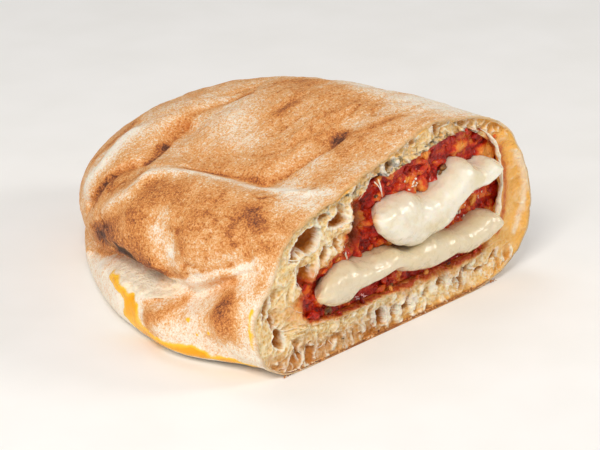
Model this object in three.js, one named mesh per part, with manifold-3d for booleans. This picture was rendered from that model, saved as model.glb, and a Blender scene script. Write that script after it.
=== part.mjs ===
// Half of a calzone: a folded pizza pocket, cut across its width, resting on its baked base.
//
// Frame: millimetres, +Z up. The cut face looks towards -Y, the body runs back along +Y to its rounded tip,
// the sealed seam is on the -X side and the smooth fold on the +X side. The base is the plane z = 0 and the
// origin is on it, under the middle of the body. Outlines and depths below are drawn from a corner mark in the
// plane of the cut, and the whole group is moved onto the origin at the end.
//
// dough            one baked shell: fold, seam lip, blisters and creases outside, torn crumb holes in the cut face
// tomato_filling   the crushed tomato that fills the pocket round the cheese
// mozzarella_upper the upper layer of melted cheese, its front edge swelling out of the cut
// mozzarella_lower the lower, longer layer of melted cheese

import * as THREE from "three";
import { mergeVertices } from "three/addons/utils/BufferGeometryUtils.js";
import Module from "manifold-3d";

const wasm = await Module();
wasm.setup();

// ---- driving dimensions, in millimetres ----

const bodyLength = 150; // from the cut to the tip
const tipX = 22; // the tip lies towards the fold side
const tipZ = 21;
const planPower = 2.5; // how square the body looks from above: 2 is an ellipse
const basePower = 7; // the base stays flat almost to the tip
const seamSinks = [3, 42]; // stretch behind the cut over which the seam sinks to its place on the side
const endNarrows = [68, 120]; // stretch over which the belly draws in under the lip and the top loses its crest

const pocketLength = 130; // from the cut to the end of the filling
const pocketCentre = [12, 33];
const pocketPower = 2.4;
const roofDrop = 0.2; // share by which the pocket is lower inside than at the cut
const roofDropsOver = 35;

const baseMiddle = [5, 72]; // [x, y] of the origin, seen from the corner mark in the plane of the cut

const gap = 0.3; // between the cheese and its neighbours
const pocketGap = 0.8; // between the tomato and the walls of the pocket
const recess = 3.2; // how far the tomato lies behind the cut

const aroundDough = 80;
const alongDough = 30;
const acrossFace = 4;
const pocketShares = [0, 0.03, 0.1, 0.2, 0.32, 0.46, 0.6, 0.74, 0.88]; // rings from the cut to the end
const aroundCheese = 34;

// ---- outlines across the body, as [x, z], from the middle of the base round by the seam ----
// Each has the same stations: base, belly of the lower dough, seam, lip, crest, valley, top, fold, base.

const cutOutline = [
  [0, 0],
  [-44, 0],
  [-58, 3],
  [-66, 11.5],
  [-67.5, 27],
  [-60, 39],
  [-58.5, 43],
  [-56.5, 48],
  [-50.5, 54],
  [-40, 58],
  [-26.5, 60.5],
  [-9, 67],
  [14, 73.5],
  [43.5, 71.5],
  [65.5, 59.5],
  [78.5, 33],
  [73, 10],
  [48, 0],
];

const bodyOutline = [
  [0, 0],
  [-56, 0],
  [-70, 1.5],
  [-73, 9],
  [-70, 17],
  [-61, 22.5],
  [-64, 26.5],
  [-69.5, 35],
  [-64.5, 49],
  [-47, 58],
  [-30, 56.5],
  [-8, 64],
  [20, 71],
  [48, 69],
  [68, 56],
  [79, 33],
  [74, 10],
  [51, 0],
];

const endOutline = [
  [0, 0],
  [-50, 0],
  [-64, 1],
  [-67, 5.5],
  [-66, 10],
  [-62, 12.5],
  [-64, 15],
  [-68.5, 26],
  [-63, 44],
  [-50, 56],
  [-32, 63.5],
  [-8, 69.5],
  [20, 71.5],
  [48, 69],
  [68, 56],
  [79, 33],
  [74, 10],
  [51, 0],
];

const pocketOutline = [
  [14, 15],
  [-8, 15],
  [-29, 15],
  [-41, 18],
  [-43.5, 25.5],
  [-36, 32.5],
  [-23.5, 38.5],
  [-18.5, 47.5],
  [-14, 56.5],
  [-1, 61],
  [16, 64],
  [35, 66.5],
  [52, 63.5],
  [63, 54.5],
  [66, 41],
  [63.5, 23.5],
  [55, 15.5],
  [37, 14.5],
];

// Blisters stand out of the skin, dents sink into it: centre, radius and height.
const swellings = [
  { at: [-70, 15, 24], radius: 8, height: 3 }, // large blister below the seam, next to the cut
  { at: [-68, 46, 12], radius: 8, height: 3 }, // second blister below the seam
  { at: [-66, 72, 36], radius: 16, height: 2.5 }, // the seam lip swells at its far end
  { at: [-68, 26, 42], radius: 12, height: 2 }, // and near the cut
  { at: [-70, 46, 38], radius: 9, height: -3 }, // pale dent in the lip between the two
  { at: [-64, 13, 39], radius: 6, height: -1.5 }, // hook-shaped dent where the lip meets the cut
  { at: [-56, 94, 18], radius: 5, height: 2.5 }, // small flap of dough low on the left
  { at: [-18, 106, 46], radius: 16, height: 2 }, // lobe behind the rear crease
  { at: [28, 52, 72], radius: 24, height: 2 }, // crown of the top
  { at: [-10, 60, 64], radius: 16, height: -1.5 }, // shallow basin in the top
];

// Creases in the top skin, from one plan point [x, y] to another.
const creases = [
  { from: [-46, 88], to: [-14, 94], width: 6, depth: 3 },
  { from: [-14, 94], to: [26, 96], width: 7, depth: 2 },
  { from: [-32, 36], to: [10, 30], width: 6, depth: 1.8 },
  { from: [-34, 66], to: [-26, 20], width: 7, depth: 1.6 },
];
const creaseFloor = 34; // creases act only on skin higher than this

// Bubbles that the cut opened in the crumb: centre [x, z], then half width, half height and depth.
const crumbHoles = [
  { at: [-43.5, 47.5], size: [7, 4, 8] },
  { at: [-27, 50.5], size: [4, 2.6, 5] },
  { at: [-0.5, 65.5], size: [2.6, 1.8, 4] },
  { at: [-46.5, 34], size: [3.2, 4.6, 6] },
  { at: [-55, 14.5], size: [3.2, 4.2, 5] },
  { at: [-4, 6.5], size: [2.4, 2.8, 4] },
  { at: [11, 7], size: [1.8, 2.2, 3] },
];

// Layers of melted cheese: a wavy middle line from left to right as [x, z, half thickness], with the reach
// of the front edge before the cut and of the back edge inside the pocket.
const cheeseLayers = {
  mozzarella_upper: {
    line: [
      [-12, 47.5, 4],
      [-2, 43, 9.6],
      [7.5, 40.8, 10.6],
      [17, 41, 8.8],
      [27, 43.2, 6.8],
      [36.5, 47.5, 6.3],
      [46.5, 48.3, 5],
      [56, 49, 3],
    ],
    front: 6,
    back: 96,
  },
  mozzarella_lower: {
    line: [
      [-42, 24.5, 4],
      [-28, 23.4, 4],
      [-14, 25.6, 3],
      [0, 26.2, 2.8],
      [15, 24.2, 3.9],
      [29, 23.6, 3.9],
      [44, 23.6, 4.4],
      [58, 24.5, 4],
    ],
    front: 5,
    back: 104,
  },
};

// ---- shape functions ----

const smooth = (t) => {
  const c = THREE.MathUtils.clamp(t, 0, 1);
  return c * c * (3 - 2 * c);
};

// Evenly numbered points on the closed smooth curve through an outline; the base never goes below z = 0.
function ring(outline, count) {
  const curve = new THREE.CatmullRomCurve3(
    outline.map(([x, z]) => new THREE.Vector3(x, 0, z)),
    true,
    "catmullrom",
    0.5,
  );
  return Array.from({ length: count }, (_, i) => {
    const p = curve.getPoint(i / count);
    p.z = Math.max(p.z, 0);
    return p;
  });
}

const superellipse = (share, power) =>
  Math.pow(Math.max(0, 1 - Math.pow(share, power)), 1 / power);

// A crease's or blister's effect fades as a bell curve with distance.
const bell = (distance, radius) => Math.exp(-((distance / radius) ** 2));

// Outward direction: away from a line inside the body that ends before the tip.
function outward(p) {
  const spine = new THREE.Vector3(10, Math.min(p.y, bodyLength - 50), 30);
  return p.clone().sub(spine).normalize();
}

function distanceToCrease(p, { from, to }) {
  const start = new THREE.Vector3(from[0], from[1], 0);
  const end = new THREE.Vector3(to[0], to[1], 0);
  const flat = new THREE.Vector3(p.x, p.y, 0);
  const nearest = new THREE.Line3(start, end).closestPointToPoint(flat, true, new THREE.Vector3());
  return nearest.distanceTo(flat);
}

// Adds blisters, dents and creases to a point of the plain skin.
function relief(p) {
  let height = 0;
  for (const swelling of swellings) {
    const centre = new THREE.Vector3(...swelling.at);
    height += swelling.height * bell(p.distanceTo(centre), swelling.radius);
  }
  const high = smooth((p.z - creaseFloor) / 12);
  for (const crease of creases) {
    height -= high * crease.depth * bell(distanceToCrease(p, crease), crease.width);
  }
  const atBase = smooth(p.z / 6); // the flat base stays flat
  return p.clone().addScaledVector(outward(p), height * atBase);
}

// The ring of skin at a share of the way from the cut (0) to the tip (1).
function skinRing(share, cutRing, bodyRing, endRing) {
  const turn = (share * Math.PI) / 2;
  const y = bodyLength * Math.pow(Math.sin(turn), 2 / planPower);
  const size = Math.pow(Math.max(Math.cos(turn), 0), 2 / planPower);
  const baseSize = superellipse(y / bodyLength, basePower);
  const sunk = smooth((y - seamSinks[0]) / (seamSinks[1] - seamSinks[0]));
  const rounded = smooth((y - endNarrows[0]) / (endNarrows[1] - endNarrows[0]));
  return cutRing.map((cut, i) => {
    const p = cut.clone().lerp(bodyRing[i], sunk).lerp(endRing[i], rounded);
    const tall = p.z > tipZ ? size : baseSize;
    p.set(tipX + (p.x - tipX) * size, y, tipZ + (p.z - tipZ) * tall);
    return relief(p);
  });
}

// The pocket's ring at a depth behind the cut, drawn in by a margin all round.
function pocketRing(share, outlineRing, margin) {
  const turn = (share * Math.PI) / 2;
  const y = (pocketLength - margin) * Math.sin(turn);
  const size = superellipse(y / (pocketLength - margin), pocketPower);
  const [cx, cz] = pocketCentre;
  const roof = 1 - roofDrop * smooth(y / roofDropsOver);
  return outlineRing.map((p) => {
    const fromCentre = new THREE.Vector3(p.x - cx, 0, (p.z - cz) * (p.z > cz ? roof : 1));
    fromCentre.setLength(fromCentre.length() - margin).multiplyScalar(size);
    return new THREE.Vector3(cx + fromCentre.x, y, cz + fromCentre.z);
  });
}

// ---- solids ----

// A closed skin over rings of equal count, with a pole at each end, as a manifold-3d solid facing outwards.
function solidFromRings(firstPole, rings, lastPole) {
  const count = rings[0].length;
  const points = [firstPole, ...rings.flat(), lastPole];
  const last = points.length - 1;
  const faces = [];
  const at = (row, i) => 1 + row * count + (i % count);
  for (let i = 0; i < count; i++) {
    faces.push([0, at(0, i + 1), at(0, i)]);
    for (let row = 0; row + 1 < rings.length; row++) {
      const [a, b, c, d] = [at(row, i), at(row, i + 1), at(row + 1, i + 1), at(row + 1, i)];
      faces.push([a, b, c], [a, c, d]);
    }
    faces.push([last, at(rings.length - 1, i), at(rings.length - 1, i + 1)]);
  }
  const volume = faces.reduce(
    (sum, [a, b, c]) => sum + points[a].dot(points[b].clone().cross(points[c])),
    0,
  );
  const order = volume > 0 ? faces : faces.map(([a, b, c]) => [a, c, b]);
  const geometry = new THREE.BufferGeometry().setFromPoints(points);
  geometry.setIndex(order.flat());
  return manifoldFrom(geometry);
}

function manifoldFrom(geometry) {
  const merged = mergeVertices(geometry, 1e-4);
  return new wasm.Manifold(
    new wasm.Mesh({
      numProp: 3,
      vertProperties: new Float32Array(merged.attributes.position.array),
      triVerts: new Uint32Array(merged.index.array),
    }),
  );
}

function meshFrom(name, solid, look) {
  const { vertProperties, triVerts } = solid.getMesh();
  const geometry = new THREE.BufferGeometry();
  geometry.setAttribute("position", new THREE.BufferAttribute(new Float32Array(vertProperties), 3));
  geometry.setIndex(new THREE.BufferAttribute(new Uint32Array(triVerts), 1));
  geometry.computeVertexNormals();
  const mesh = new THREE.Mesh(geometry, new THREE.MeshStandardMaterial(look));
  mesh.name = name;
  return mesh;
}

// An ellipsoid bubble centred on the cut plane.
function bubble({ at: [x, z], size: [halfWidth, halfHeight, depth] }) {
  const ball = new THREE.SphereGeometry(1, 10, 7);
  ball.deleteAttribute("normal");
  ball.deleteAttribute("uv");
  ball.scale(halfWidth, depth, halfHeight);
  ball.translate(x, 0, z);
  return manifoldFrom(ball);
}

// A layer of cheese: its section follows the wavy line, its front edge is a fat round lip and its back thins out.
function cheeseLayer({ line, front, back }, extra) {
  const middle = new THREE.CatmullRomCurve3(
    line.map((p) => new THREE.Vector3(...p)),
    false,
    "catmullrom",
    0.5,
  );
  const steps = [0.25, 0.5, 0.75, 0.92, 1.1, 1.4, 1.75, 2.2, 2.6, 2.85];
  const lip = 9; // how far behind the front edge the layer reaches its full thickness
  const level = line.reduce((sum, p) => sum + p[1], 0) / line.length; // the waves flatten towards the back
  const ringAt = (step) => {
    const inLip = Math.min(step, 1);
    const inTail = Math.max(step - 1, 0) / 2;
    const size = step < 1 ? superellipse(1 - inLip, 2) : superellipse(inTail, 4);
    const y = step < 1 ? -front - extra + lip * inLip : -front + lip + inTail * (back + front - lip);
    return Array.from({ length: aroundCheese }, (_, i) => {
      const turn = (i / aroundCheese) * 2 * Math.PI;
      const across = 0.5 - 0.5 * Math.cos(turn) * (0.55 + 0.45 * size);
      const { x, y: z, z: thick } = middle.getPoint(across);
      const round = Math.sign(Math.sin(turn)) * Math.pow(Math.abs(Math.sin(turn)), 0.7);
      const taper = 1 - 0.25 * inTail;
      return new THREE.Vector3(
        x - Math.cos(turn) * extra,
        y,
        THREE.MathUtils.lerp(z, level, inTail) + round * (thick * taper * size + extra),
      );
    });
  };
  const rings = steps.map(ringAt);
  const centreOf = (points) =>
    points
      .reduce((sum, p) => sum.add(p), new THREE.Vector3())
      .multiplyScalar(1 / points.length);
  const firstPole = centreOf(rings[0]).setY(-front - extra);
  const lastPole = centreOf(rings.at(-1)).setY(back + extra);
  return solidFromRings(firstPole, rings, lastPole);
}

function doughShell() {
  const cutRing = ring(cutOutline, aroundDough);
  const bodyRing = ring(bodyOutline, aroundDough);
  const endRing = ring(endOutline, aroundDough);
  const mouth = ring(pocketOutline, aroundDough);
  const skin = Array.from({ length: alongDough }, (_, row) =>
    skinRing(row / alongDough, cutRing, bodyRing, endRing),
  );
  const pocket = pocketShares.map((share) => pocketRing(share, mouth, 0));
  const face = Array.from({ length: acrossFace - 1 }, (_, k) => {
    const share = (k + 1) / acrossFace;
    const hollow = 1.2 * Math.sin(Math.PI * share); // the soft crumb sits a little behind its crust
    return skin[0].map((p, i) => p.clone().lerp(pocket[0][i], share).setY(hollow));
  });
  return solidFromRings(
    new THREE.Vector3(tipX, bodyLength, tipZ),
    [...skin.toReversed(), ...face, ...pocket],
    new THREE.Vector3(pocketCentre[0], pocketLength, pocketCentre[1]),
  );
}

// The tomato fills the pocket; its front is a lumpy face a little behind the cut.
function tomatoBody() {
  const mouth = ring(pocketOutline, aroundDough);
  const walls = pocketShares.slice(1).map((share) => pocketRing(share, mouth, pocketGap));
  const [cx, cz] = pocketCentre;
  const frontShares = [0.25, 0.5, 0.72, 0.9, 0.98];
  const lump = (x, z) => 1.6 * Math.sin(x / 4.1 + 0.7) * Math.cos(z / 3.7 + x / 9);
  const front = frontShares.map((share) =>
    walls[0].map((p) => {
      const x = cx + (p.x - cx) * share;
      const z = cz + (p.z - cz) * share;
      const y = recess + lump(x, z) * (1 - share ** 6);
      return new THREE.Vector3(x, y, z);
    }),
  );
  return solidFromRings(
    new THREE.Vector3(cx, recess, cz),
    [...front, ...walls],
    new THREE.Vector3(cx, pocketLength - pocketGap, cz),
  );
}

// ---- the calzone half ----

const calzone = new THREE.Group();
calzone.name = "calzone_half";
calzone.position.set(-baseMiddle[0], -baseMiddle[1], 0);

const cheeseLook = { color: 0xe9e3c8, roughness: 0.25, metalness: 0 };
const roomForCheese = Object.values(cheeseLayers).map((layer) => cheeseLayer(layer, gap));

const dough = [...crumbHoles.map(bubble), ...roomForCheese].reduce(
  (solid, tool) => solid.subtract(tool),
  doughShell(),
);
calzone.add(meshFrom("dough", dough, { color: 0xd9a066, roughness: 0.85, metalness: 0 }));

const tomato = roomForCheese.reduce((solid, tool) => solid.subtract(tool), tomatoBody());
calzone.add(meshFrom("tomato_filling", tomato, { color: 0xb5301a, roughness: 0.35, metalness: 0 }));

for (const [name, layer] of Object.entries(cheeseLayers)) {
  calzone.add(meshFrom(name, cheeseLayer(layer, 0), cheeseLook));
}

export default calzone;
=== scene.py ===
import bpy
import numpy as np
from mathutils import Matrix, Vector


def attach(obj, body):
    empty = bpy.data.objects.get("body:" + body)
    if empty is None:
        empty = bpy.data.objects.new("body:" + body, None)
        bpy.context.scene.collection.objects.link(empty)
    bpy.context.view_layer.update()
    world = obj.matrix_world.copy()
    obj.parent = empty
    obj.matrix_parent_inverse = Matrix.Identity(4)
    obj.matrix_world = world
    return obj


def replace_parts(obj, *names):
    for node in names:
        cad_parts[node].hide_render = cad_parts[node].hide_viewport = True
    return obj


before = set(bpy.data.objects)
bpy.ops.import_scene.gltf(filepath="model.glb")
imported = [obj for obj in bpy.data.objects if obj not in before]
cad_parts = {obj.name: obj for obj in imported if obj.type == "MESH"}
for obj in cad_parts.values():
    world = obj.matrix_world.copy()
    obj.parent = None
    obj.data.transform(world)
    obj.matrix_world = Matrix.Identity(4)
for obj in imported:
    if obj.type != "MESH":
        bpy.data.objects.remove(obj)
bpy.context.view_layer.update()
print("frame loaded:", sorted(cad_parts))

baseMiddle = np.array([5.0, 72.0, 0.0])  # the frame's origin seen from the corner mark, in mm
millimetre = 0.001


def smoothStep(t):
    # rises from 0 to 1 with level ends
    c = np.clip(t, 0, 1)
    return c * c * (3 - 2 * c)


def bell(distance, radius):
    # e to the minus square of distance over radius
    return np.exp(-((distance / radius) ** 2))


def superellipse(share, power):
    # the power-th root of one minus share to that power
    return np.maximum(0, 1 - np.abs(share) ** power) ** (1 / power)


def asPoints(*coordinates):
    # coordinates spread to one shape and stacked into points
    return np.stack(np.broadcast_arrays(*coordinates), -1)


def smoothCurve(stations, count, closed=True):
    # a Catmull-Rom curve: the slope at each station is half the step between its neighbours
    stations = np.asarray(stations, float)
    n = len(stations)
    at = np.arange(count) / count * n if closed else np.linspace(0, n - 1, count)
    i = np.minimum(np.floor(at).astype(int), n - 1 if closed else n - 2)
    t = (at - i)[:, None]
    if closed:
        p0, p1, p2, p3 = (stations[(i + k) % n] for k in (-1, 0, 1, 2))
    else:
        ends = np.vstack([2 * stations[0] - stations[1], stations, 2 * stations[-1] - stations[-2]])
        p0, p1, p2, p3 = (ends[i + k] for k in (0, 1, 2, 3))
    bend, twist = 2 * p0 - 5 * p1 + 4 * p2 - p3, 3 * p1 - p0 - 3 * p2 + p3
    return 0.5 * (2 * p1 + (p2 - p0) * t + bend * t**2 + twist * t**3)


def scatterValue(cells, seed):
    # mixes whole-number cell places and a seed into an even spread from 0 to 1
    cells = cells.astype(np.int64)
    mixed = cells @ np.array([73856093, 19349663, 83492791][: cells.shape[-1]]) + seed * 6271
    mixed = (mixed ^ (mixed >> 13)) * 1274126177 & 0xFFFFFFFF
    mixed = (mixed ^ (mixed >> 15)) * 2246822519 & 0xFFFFFFFF
    return ((mixed ^ (mixed >> 13)) & 0xFFFFFF) / 0xFFFFFF


def valueNoise(points, size, seed):
    # blends the scattered values at the corners of each cell of the given size, from -1 to 1
    scaled = points / size
    corner = np.floor(scaled)
    t = scaled - corner
    t = t * t * t * (t * (6 * t - 15) + 10)
    total = np.zeros(points.shape[:-1])
    for shift in np.ndindex((2,) * points.shape[-1]):
        weight = np.prod(np.where(np.array(shift), t, 1 - t), axis=-1)
        total += weight * scatterValue(corner + shift, seed)
    return total * 2 - 1


def fractalNoise(points, size, octaves, seed):
    # sums value noise, each octave half the size and half the height of the last
    return sum(valueNoise(points, size / 2**k, seed + 17 * k) / 2**k for k in range(octaves))


def bubbleField(flat, size, smallest, largest, share, seed):
    # one jittered bubble in a share of the square cells: the depth is that of a ball cut through its middle
    home = np.floor(flat / size)
    depth = np.zeros(flat.shape[:-1])
    for shift in np.ndindex(3, 3):
        cell = home + np.array(shift) - 1
        placeX, placeZ, wide, lean, there = (scatterValue(cell, seed + k) for k in (1, 2, 3, 4, 5))
        radius = size * (smallest + (largest - smallest) * wide)
        lean = (lean - 0.5) * 0.9
        offset = flat - (cell + 0.2 + 0.6 * asPoints(placeX, placeZ)) * size
        across = offset[..., 0] * (1 + lean) + offset[..., 1] * lean * 0.8
        upward = offset[..., 1] * (1 - lean * 0.6)
        inside = np.maximum(0, 1 - (across**2 + upward**2) / radius**2)
        depth = np.maximum(depth, (there < share) * radius * np.sqrt(inside))
    return depth


def distanceToPath(points, path):
    # the shortest distance from each point to a broken line, or to a single place
    path = np.asarray(path, float)
    nearest = np.linalg.norm(points - path[0], axis=-1)
    for start, end in zip(path[:-1], path[1:]):
        along = end - start
        t = np.clip(((points - start) @ along) / (along @ along), 0, 1)
        nearest = np.minimum(nearest, np.linalg.norm(points - start - t[..., None] * along, axis=-1))
    return nearest


def gridFaces(rows, columns, poles=False, closedRows=False):
    # quads between the rows of a grid that closes round its columns, with fans to two poles after its points
    row = np.arange(rows if closedRows else rows - 1)[:, None]
    column = np.arange(columns)[None, :]
    nextRow, nextColumn = (row + 1) % rows, (column + 1) % columns
    corners = [row * columns + column, row * columns + nextColumn]
    corners += [nextRow * columns + nextColumn, nextRow * columns + column]
    faces = asPoints(*corners).reshape(-1, 4).tolist()
    if poles:
        around, after, last = column[0], nextColumn[0], (rows - 1) * columns
        faces += asPoints(rows * columns, after, around).tolist()
        faces += asPoints(rows * columns + 1, last + around, last + after).tolist()
    return faces


def zipFaces(first, columns):
    # closes a flattened ring by joining each point of its upper side to the one below it
    half = columns // 2
    k = np.arange(1, half - 1)
    quads = asPoints(first + k, first + k + 1, first + columns - k - 1, first + columns - k).tolist()
    ends = [[first, first + 1, first + columns - 1], [first + half - 1, first + half, first + half + 1]]
    return quads + ends


def copiedFaces(copies, rows, columns):
    # the faces of one small grid with two poles, moved on for each copy by its number of points
    pattern = gridFaces(rows, columns, poles=True)
    moves = np.arange(copies)[:, None, None] * (rows * columns + 2)
    faces = []
    for corners in (3, 4):
        alike = np.array([face for face in pattern if len(face) == corners])
        faces += (alike[None] + moves).reshape(-1, corners).tolist()
    return faces


def makePiece(name, points, faces, material, masks=None):
    # a mesh piece from points in mm, turned to face outwards, with one float attribute for each mask
    points = points.reshape(-1, 3)
    a, b, c, d = (points[np.array([face[k] for face in faces])] for k in (0, 1, 2, -1))
    volume = np.einsum("ij,ij->", a, np.cross(b, c)) + np.einsum("ij,ij->", a, np.cross(c, d))
    if volume < 0:
        faces = [face[::-1] for face in faces]
    mesh = bpy.data.meshes.new(name)
    mesh.from_pydata(((points - baseMiddle) * millimetre).tolist(), [], faces)
    mesh.polygons.foreach_set("use_smooth", np.ones(len(faces), bool))
    for mask, values in (masks or {}).items():
        attribute = mesh.attributes.new(mask, "FLOAT", "POINT")
        attribute.data.foreach_set("value", np.asarray(values, np.float32).ravel())
    mesh.materials.append(material)
    mesh.update()
    piece = bpy.data.objects.new(name, mesh)
    bpy.context.scene.collection.objects.link(piece)
    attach(piece, "root")
    return piece


def gridNormals(rings):
    # the cross product of the steps along and round the grid, turned away from the middle of its ring
    around = (np.roll(rings, -1, axis=1) - np.roll(rings, 1, axis=1)) / 2
    normals = np.cross(np.gradient(rings, axis=0), around)
    normals /= np.linalg.norm(normals, axis=-1, keepdims=True) + 1e-9
    outwards = rings - rings.mean(axis=1, keepdims=True)
    return normals * np.sign((normals * outwards).sum(-1).mean())


def lumps(centres, radii, rough, seed, rows=8, columns=12):
    # balls of three radii, made uneven by noise of their own place and turned by a seeded angle about y
    tilt = np.linspace(0, np.pi, rows + 2)[1:-1, None]
    turn = np.arange(columns)[None] / columns * 2 * np.pi
    way = asPoints(np.sin(tilt) * np.cos(turn), np.sin(tilt) * np.sin(turn), np.cos(tilt))
    way = np.vstack([way.reshape(-1, 3), [[0, 0, 1], [0, 0, -1]]])[None]
    uneven = 1 + rough * fractalNoise(way * 1.3 + centres[:, None] * 1.7, 1.0, 2, seed)
    x, y, z = np.moveaxis(way * radii[:, None] * uneven[..., None], -1, 0)
    angle = np.random.default_rng(seed).uniform(0, 2 * np.pi, len(centres))[:, None]
    turned = asPoints(x * np.cos(angle) - z * np.sin(angle), y, x * np.sin(angle) + z * np.cos(angle))
    return centres[:, None] + turned, copiedFaces(len(centres), rows, columns)


def tubes(paths, radii, sides=6):
    # round sections at right angles to each path, with a point at both ends
    along = np.gradient(paths, axis=1)
    along /= np.linalg.norm(along, axis=-1, keepdims=True) + 1e-9
    across = np.cross(along, np.array([0.13, 1.0, 0.29]))
    across /= np.linalg.norm(across, axis=-1, keepdims=True) + 1e-9
    upward = np.cross(along, across)
    turn = np.arange(sides) / sides * 2 * np.pi
    ring = across[:, :, None] * np.cos(turn)[:, None] + upward[:, :, None] * np.sin(turn)[:, None]
    grids = paths[:, :, None] + ring * radii[:, :, None, None]
    ends = paths[:, [0, -1]] + along[:, [0, -1]] * radii[:, [0, -1], None] * np.array([[-1], [1]])
    points = np.concatenate([grids.reshape(len(paths), -1, 3), ends], axis=1)
    return points, copiedFaces(len(paths), paths.shape[1], sides)


# Outlines across the body as [x, z], from the middle of the base round by the seam: base, belly of the lower
# dough, seam, lip, crest, valley, top, fold, base. A place between two of them is a station number.
calzoneBody = {
    "length": 150,  # from the cut to the tip
    "tip": (22, 21),
    "planPower": 2.5,  # 2 is an ellipse seen from above, more is squarer
    "basePower": 7,
    "spine": (10, 30),  # x and z of a line inside the body: relief stands away from it
    "spineEnd": 100,
    "oval": (5, 34, 70, 36),  # of a mean section: x and z of the middle, half width and half height
    "baseStations": (0.9, 17.1),  # the skin beyond these lies on the base
    "foldStation": 13.6,  # from here on the skin is the folded side
    "seamSinks": (3, 42),  # stretch over which the seam sinks to its place on the side
    "endNarrows": (68, 120),  # stretch over which the belly draws in and the top loses its crest
    "cutOutline": [
        (0, 0), (-44, 0), (-58, 3), (-66, 11.5), (-67.5, 27), (-60, 39), (-58.5, 43), (-56.5, 48),
        (-50.5, 54), (-40, 58), (-26.5, 60.5), (-9, 67), (14, 73.5), (43.5, 71.5), (65.5, 59.5), (78.5, 33),
        (73, 10), (48, 0),
    ],
    "bodyOutline": [
        (0, 0), (-56, 0), (-70, 1.5), (-73, 9), (-70, 17), (-61, 22.5), (-64, 26.5), (-69.5, 35), (-64.5, 49),
        (-47, 58), (-30, 56.5), (-8, 64), (20, 71), (48, 69), (68, 56), (79, 33), (74, 10), (51, 0),
    ],
    "endOutline": [
        (0, 0), (-50, 0), (-64, 1), (-67, 5.5), (-66, 10), (-62, 12.5), (-64, 15), (-68.5, 26), (-63, 44),
        (-50, 56), (-32, 63.5), (-8, 69.5), (20, 71.5), (48, 69), (68, 56), (79, 33), (74, 10), (51, 0),
    ],
}

# The pocket that the filling lies in, drawn the same way at its mouth.
fillingPocket = {
    "length": 130,
    "centre": (12, 33),
    "power": 2.4,
    "roofDrop": (0.2, 35),  # share by which the roof is lower inside, and over what depth
    "outline": [
        (14, 15), (-8, 15), (-29, 15), (-41, 18), (-43.5, 25.5), (-36, 32.5), (-23.5, 38.5), (-18.5, 47.5),
        (-14, 56.5), (-1, 61), (16, 64), (35, 66.5), (52, 63.5), (63, 54.5), (66, 41), (63.5, 23.5),
        (55, 15.5), (37, 14.5),
    ],
}

# Blisters stand out of the skin and dents sink into it: centre, radius and height.
skinSwellings = [
    ((-70, 15, 24), 8, 3),
    ((-68, 46, 12), 8, 3),
    ((-66, 72, 36), 16, 2.5),
    ((-68, 26, 42), 12, 2),
    ((-70, 46, 38), 9, -3),
    ((-64, 13, 39), 6, -1.5),
    ((-56, 94, 18), 5, 2.5),
    ((-18, 106, 46), 16, 2),
    ((28, 52, 72), 24, 2),
    ((-10, 60, 64), 16, -1.5),
]

# Wide creases in the top: plan points from and to, width and depth.
skinCreases = [
    ((-46, 88), (-14, 94), 6, 3),
    ((-14, 94), (26, 96), 7, 2),
    ((-32, 36), (10, 30), 6, 1.8),
    ((-34, 66), (-26, 20), 7, 1.6),
]
creaseFloor = 34


def outlineRing(outline, count):
    # the smooth closed curve through an outline, never below the base
    ring = smoothCurve(outline, count)
    ring[:, 1] = np.maximum(ring[:, 1], 0)
    return ring


def skinShare(y):
    # the share of the way from cut to tip whose plan curve reaches the depth y
    body = calzoneBody
    return np.arcsin(np.clip(y / body["length"], 0, 1) ** (body["planPower"] / 2)) * 2 / np.pi


def plainSkin(shares, count):
    # rings blended from cut to body to end outline, drawn in towards the tip along a superellipse
    body = calzoneBody
    turn = np.asarray(shares)[:, None] * np.pi / 2
    y = body["length"] * np.sin(turn) ** (2 / body["planPower"])
    size = np.maximum(np.cos(turn), 0) ** (2 / body["planPower"])
    baseSize = superellipse(y / body["length"], body["basePower"])
    stretches = (body["seamSinks"], body["endNarrows"])
    sunk, rounded = (smoothStep((y - a) / (b - a))[..., None] for a, b in stretches)
    outlines = (body["cutOutline"], body["bodyOutline"], body["endOutline"])
    cut, middle, end = (outlineRing(outline, count)[None] for outline in outlines)
    blend = cut * (1 - sunk) + middle * sunk
    blend = blend * (1 - rounded) + end * rounded
    tipX, tipZ = body["tip"]
    x = tipX + (blend[..., 0] - tipX) * size
    z = tipZ + (blend[..., 1] - tipZ) * np.where(blend[..., 1] > tipZ, size, baseSize)
    return asPoints(x, y, z)


def movedOutwards(points, height):
    # moves points by a height along the line away from a spine inside the body
    spineX, spineZ = calzoneBody["spine"]
    spine = asPoints(spineX, np.minimum(points[..., 1], calzoneBody["spineEnd"]), spineZ)
    outward = points - spine
    outward /= np.linalg.norm(outward, axis=-1, keepdims=True) + 1e-9
    return points + outward * height[..., None]


def placesRound(turn, along, out):
    # places on an oval round the body, the given way outside that of a mean section
    middleX, middleZ, wide, high = calzoneBody["oval"]
    return asPoints(middleX + (wide + out) * np.cos(turn), along, middleZ + (high + out) * np.sin(turn))


def formedSkin(points):
    # adds each swelling's bell and takes away each crease's
    height = np.zeros(points.shape[:-1])
    for centre, radius, rise in skinSwellings:
        height += rise * bell(distanceToPath(points, [centre]), radius)
    high = smoothStep((points[..., 2] - creaseFloor) / 12)
    for start, end, width, depth in skinCreases:
        height -= high * depth * bell(distanceToPath(points[..., :2], [start, end]), width)
    return movedOutwards(points, height * smoothStep(points[..., 2] / 6))


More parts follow.
